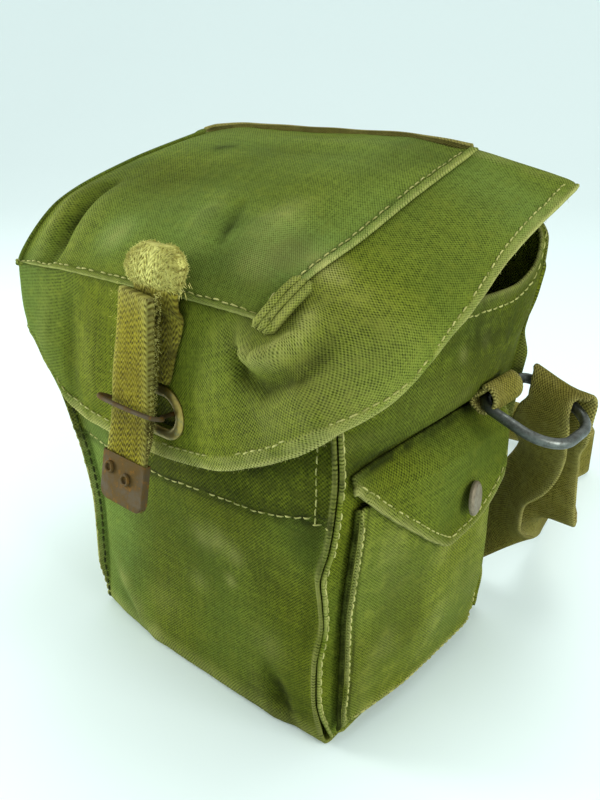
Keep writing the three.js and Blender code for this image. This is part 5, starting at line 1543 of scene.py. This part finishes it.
# the left flange's stitches use the thread painted dark as shade
shadeStitches = sewLines("body_left_stitches", bodyPiece,
                         [gridLine("body_front_back", np.arange(0, 92), 2)], paintedShadeThread, 4.4, 0.5)
heights = np.arange(5, 147)
mouthJ = np.full(74, sidePanels["heights"] - 6)
rightLines = [gridLine("side_right", heights, 2), gridLine("side_right", heights, -3),
              gridLine("side_right", mouthJ, np.arange(4, 78))]
leftLines = [gridLine("side_left", heights, 2), gridLine("side_left", heights, -3),
             gridLine("side_left", mouthJ, np.arange(4, 78))]
rightStitches = sewLines("side_right_stitches", rightSide, rightLines, paleThread, 4.4)
leftStitches = sewLines("side_left_stitches", leftSide, leftLines, paleThread, 4.4)
up = np.linspace(14, 108, 60)
over = np.linspace(-54, 37, 60)
pocketLines = [vec(pocketFace(0 * up - 58.6, up) + 2.6, 0 * up - 59.6, up),
               vec(pocketFace(0 * up + 39, up) + 2, 40.6 - 4 * rise((up - 16) / 84), up),
               vec(pocketFace(over, 0 * over + 11) + 2, over, 0 * over + 11)]
pocketStitches = sewLines("pocket_stitches", pocketPiece, pocketLines, paleThread, 3.4, 0.42)
flapY = np.linspace(-62, 33.5, 80)
slopeY = np.gradient(pocketHem(flapY), flapY)
flapZ = pocketHem(flapY) + 3.2 * np.sqrt(1 + slopeY ** 2)
flapLine = vec(pocketFace(flapY, np.minimum(flapZ, 113)) + 3, flapY, flapZ)
pocketFlapStitches = sewLines("pocket_flap_stitches", pocketFlapPiece, [flapLine], paleThread, 4.0)
tapeLines = [gridLine("back_edge_tape", 4, np.arange(2, 88)),
             gridLine("back_edge_tape", 18, np.arange(2, 88))]
tapeStitches = sewLines("tape_stitches", tapePiece, tapeLines, paleThread)
print("stitches sewn")


# loose fibres on the rolled end, the strap edges and the worn hems

fibres = {"knob": 5200, "tuft": 60, "edge": 900, "hem": 900}  # how many of each
knobRows = anchorRows[49:]
centre = knobRows.reshape(-1, 3).mean(0)
pick = dice.integers(0, knobRows.size // 3, fibres["knob"])
knobRoots = knobRows.reshape(-1, 3)[pick]
knobWays = unit(unit(knobRoots - centre) + dice.normal(0, 0.9, (fibres["knob"], 3)))
knobFuzz = fuzzOn("rolled_end_fibres", knobRoots, knobWays, 0.75, frayThread, 0.13)
tuftRoots = np.array([20.0, -84, 188]) + dice.normal(0, 1.6, (fibres["tuft"], 3))
tuftWays = unit(np.array([0.8, -0.3, -0.7]) + dice.normal(0, 0.35, (fibres["tuft"], 3)))
tuftFuzz = fuzzOn("rolled_end_tuft", tuftRoots, tuftWays, 2.3, frayThread, 0.22)
edgeAt = dice.random(fibres["edge"])
edgeP, _, edgeOut = tongueFrame(edgeAt * 0.75)
edgeSide = np.where(dice.random(fibres["edge"]) < 0.08, -1.0, 1.0)
edgeX = np.where(edgeSide > 0, 12.3, -11.6)
edgeIn = edgeOut * (dice.random(fibres["edge"]) * 3.4)[:, None]
edgeRoots = edgeP + vec(edgeX, 0 * edgeAt, 0 * edgeAt) - edgeIn
edgeWays = unit(vec(edgeSide, -0.4 + 0 * edgeAt, 0 * edgeAt) + dice.normal(0, 0.6, (fibres["edge"], 3)))
strapFuzz = fuzzOn("strap_fibres", edgeRoots, edgeWays, 0.7, frayThread, 0.1)
hemPick = dice.random(fibres["hem"])
hemRoots = skirtAt(hemPick * 12, np.full(fibres["hem"], 0.999))
hemWays = unit(vec(0 * hemPick, -0.2 + 0 * hemPick, -1 + 0 * hemPick)
               + dice.normal(0, 0.6, (fibres["hem"], 3)))
hemFuzz = fuzzOn("hem_fibres", hemRoots, hemWays, 1.1, paleThread, 0.09)
print("fibres added")


# what each piece stands for
pairs = {
    "body_wrap": (bodyPiece, "canvas"), "right_side": (rightSide, "canvas"),
    "left_side": (leftSide, "canvas"),
    "flap_skirt": (skirtPiece, "canvas"), "flap_top": (topPiece, "canvas"),
    "back_tape": (tapePiece, "webbing"),
    "side_pocket": (pocketPiece, "canvas"), "pocket_flap": (pocketFlapPiece, "canvas"),
    "pocket_stud": (studPiece, "stud_metal"),
    "right_ring": (rightRing, "ring_steel"), "left_ring": (leftRing, "ring_steel"),
    "right_chape": (rightChape, "webbing"),
    "left_chape": (leftChape, "webbing"), "sling": (slingPiece, "webbing"),
    "strap_anchor": (anchorPiece, "strap_webbing"),
    "closing_strap": (tonguePiece, "strap_webbing"), "strap_tip": (tipPiece, "rusty_steel"),
    "tip_rivet_left": (leftRivet, "rusty_steel"), "tip_rivet_right": (rightRivet, "rusty_steel"),
    "flap_eyelet": (eyeletPiece, "eyelet_brass"), "wire_staple": (staplePiece, "rusty_steel"),
}
for node, (piece, slot) in pairs.items():
    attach(piece, "root")
    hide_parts(node)
for piece in (topStitches, skirtStitches, bodyStitches, shadeStitches, rightStitches, leftStitches,
              pocketStitches, pocketFlapStitches,
              tapeStitches, knobFuzz, tuftFuzz, strapFuzz, hemFuzz):
    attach(piece, "root")


# floor, light and camera
stage = {"floor": rgb(0.83, 0.95, 0.94), "world": rgb(0.93, 0.985, 0.98), "worldStrength": 0.88,
         "radius": 1.3, "curve": 1.9,
         "camera": (0.2257, -0.2548, 0.2600), "azimuth": 41.4, "pitch": 23.4, "lens": 36}


def makeFloor():  # round floor that sweeps up far away, so no edge shows
    bpy.ops.object.select_all(action="DESELECT")
    bpy.ops.mesh.primitive_circle_add(vertices=96, radius=stage["radius"], fill_type="NGON",
                                      location=(0, 0, -0.0003))
    sweep = bpy.context.object
    bpy.ops.object.transform_apply(location=True, rotation=True, scale=True)
    bpy.ops.object.mode_set(mode="EDIT")
    bpy.ops.mesh.select_mode(type="EDGE")
    bpy.ops.mesh.select_all(action="SELECT")
    far = stage["radius"]
    for a in np.linspace(0, math.pi / 2, 10)[1:6]:
        up = stage["curve"] * (math.cos(a - math.pi / 18) - math.cos(a))
        wider = far + stage["curve"] * (math.sin(a) - math.sin(a - math.pi / 18))
        bpy.ops.mesh.extrude_edges_move(TRANSFORM_OT_translate={"value": (0, 0, up)})
        bpy.ops.transform.resize(value=(wider / far, wider / far, 1), center_override=(0, 0, 0))
        far = wider
    bpy.ops.object.mode_set(mode="OBJECT")
    bpy.ops.object.shade_smooth_by_angle(angle=math.radians(40))
    sweep.name = "floor"
    return sweep


floor = makeFloor()
floorLook, _, floorShader = newLook("paleFloor")
floorShader.inputs["Base Color"].default_value = stage["floor"]
floorShader.inputs["Roughness"].default_value = 0.8
floor.data.materials.append(floorLook)
world = bpy.data.worlds.new("studio")
scene.world = world
world.use_nodes = True
world.node_tree.nodes["Background"].inputs["Color"].default_value = stage["world"]
world.node_tree.nodes["Background"].inputs["Strength"].default_value = stage["worldStrength"]
lamps = (("left", (-0.8, -0.5, 0.16), 0.3, 9, (1, 1, 0.97)),
         ("right", (0.95, 0.0, 0.42), 0.5, 5.5, (1, 1, 0.98)),
         ("above", (0.1, 0.3, 1.2), 0.5, 3, (1, 1, 1)))  # place, size, power and colour
for name, place, size, power, colour in lamps:
    lamp = bpy.data.lights.new(name, "AREA")
    lamp.energy = power
    lamp.size = size
    lamp.color = colour
    light = bpy.data.objects.new(name, lamp)
    light.location = place
    light.rotation_mode = "QUATERNION"
    light.rotation_quaternion = (Vector((0, 0, 0.1)) - Vector(place)).to_track_quat("-Z", "Y")
    scene.collection.objects.link(light)
cameraData = bpy.data.cameras.new("camera")
cameraData.lens = stage["lens"]
cameraData.sensor_width = 36
camera = bpy.data.objects.new("camera", cameraData)
turn, drop = math.radians(stage["azimuth"]), math.radians(stage["pitch"])
ahead = Vector((-math.sin(turn) * math.cos(drop), math.cos(turn) * math.cos(drop), -math.sin(drop)))
camera.location = stage["camera"]
camera.rotation_mode = "QUATERNION"
camera.rotation_quaternion = ahead.to_track_quat("-Z", "Y")
scene.collection.objects.link(camera)
scene.camera = camera
scene.view_settings.view_transform = "Standard"
print("studio ready")
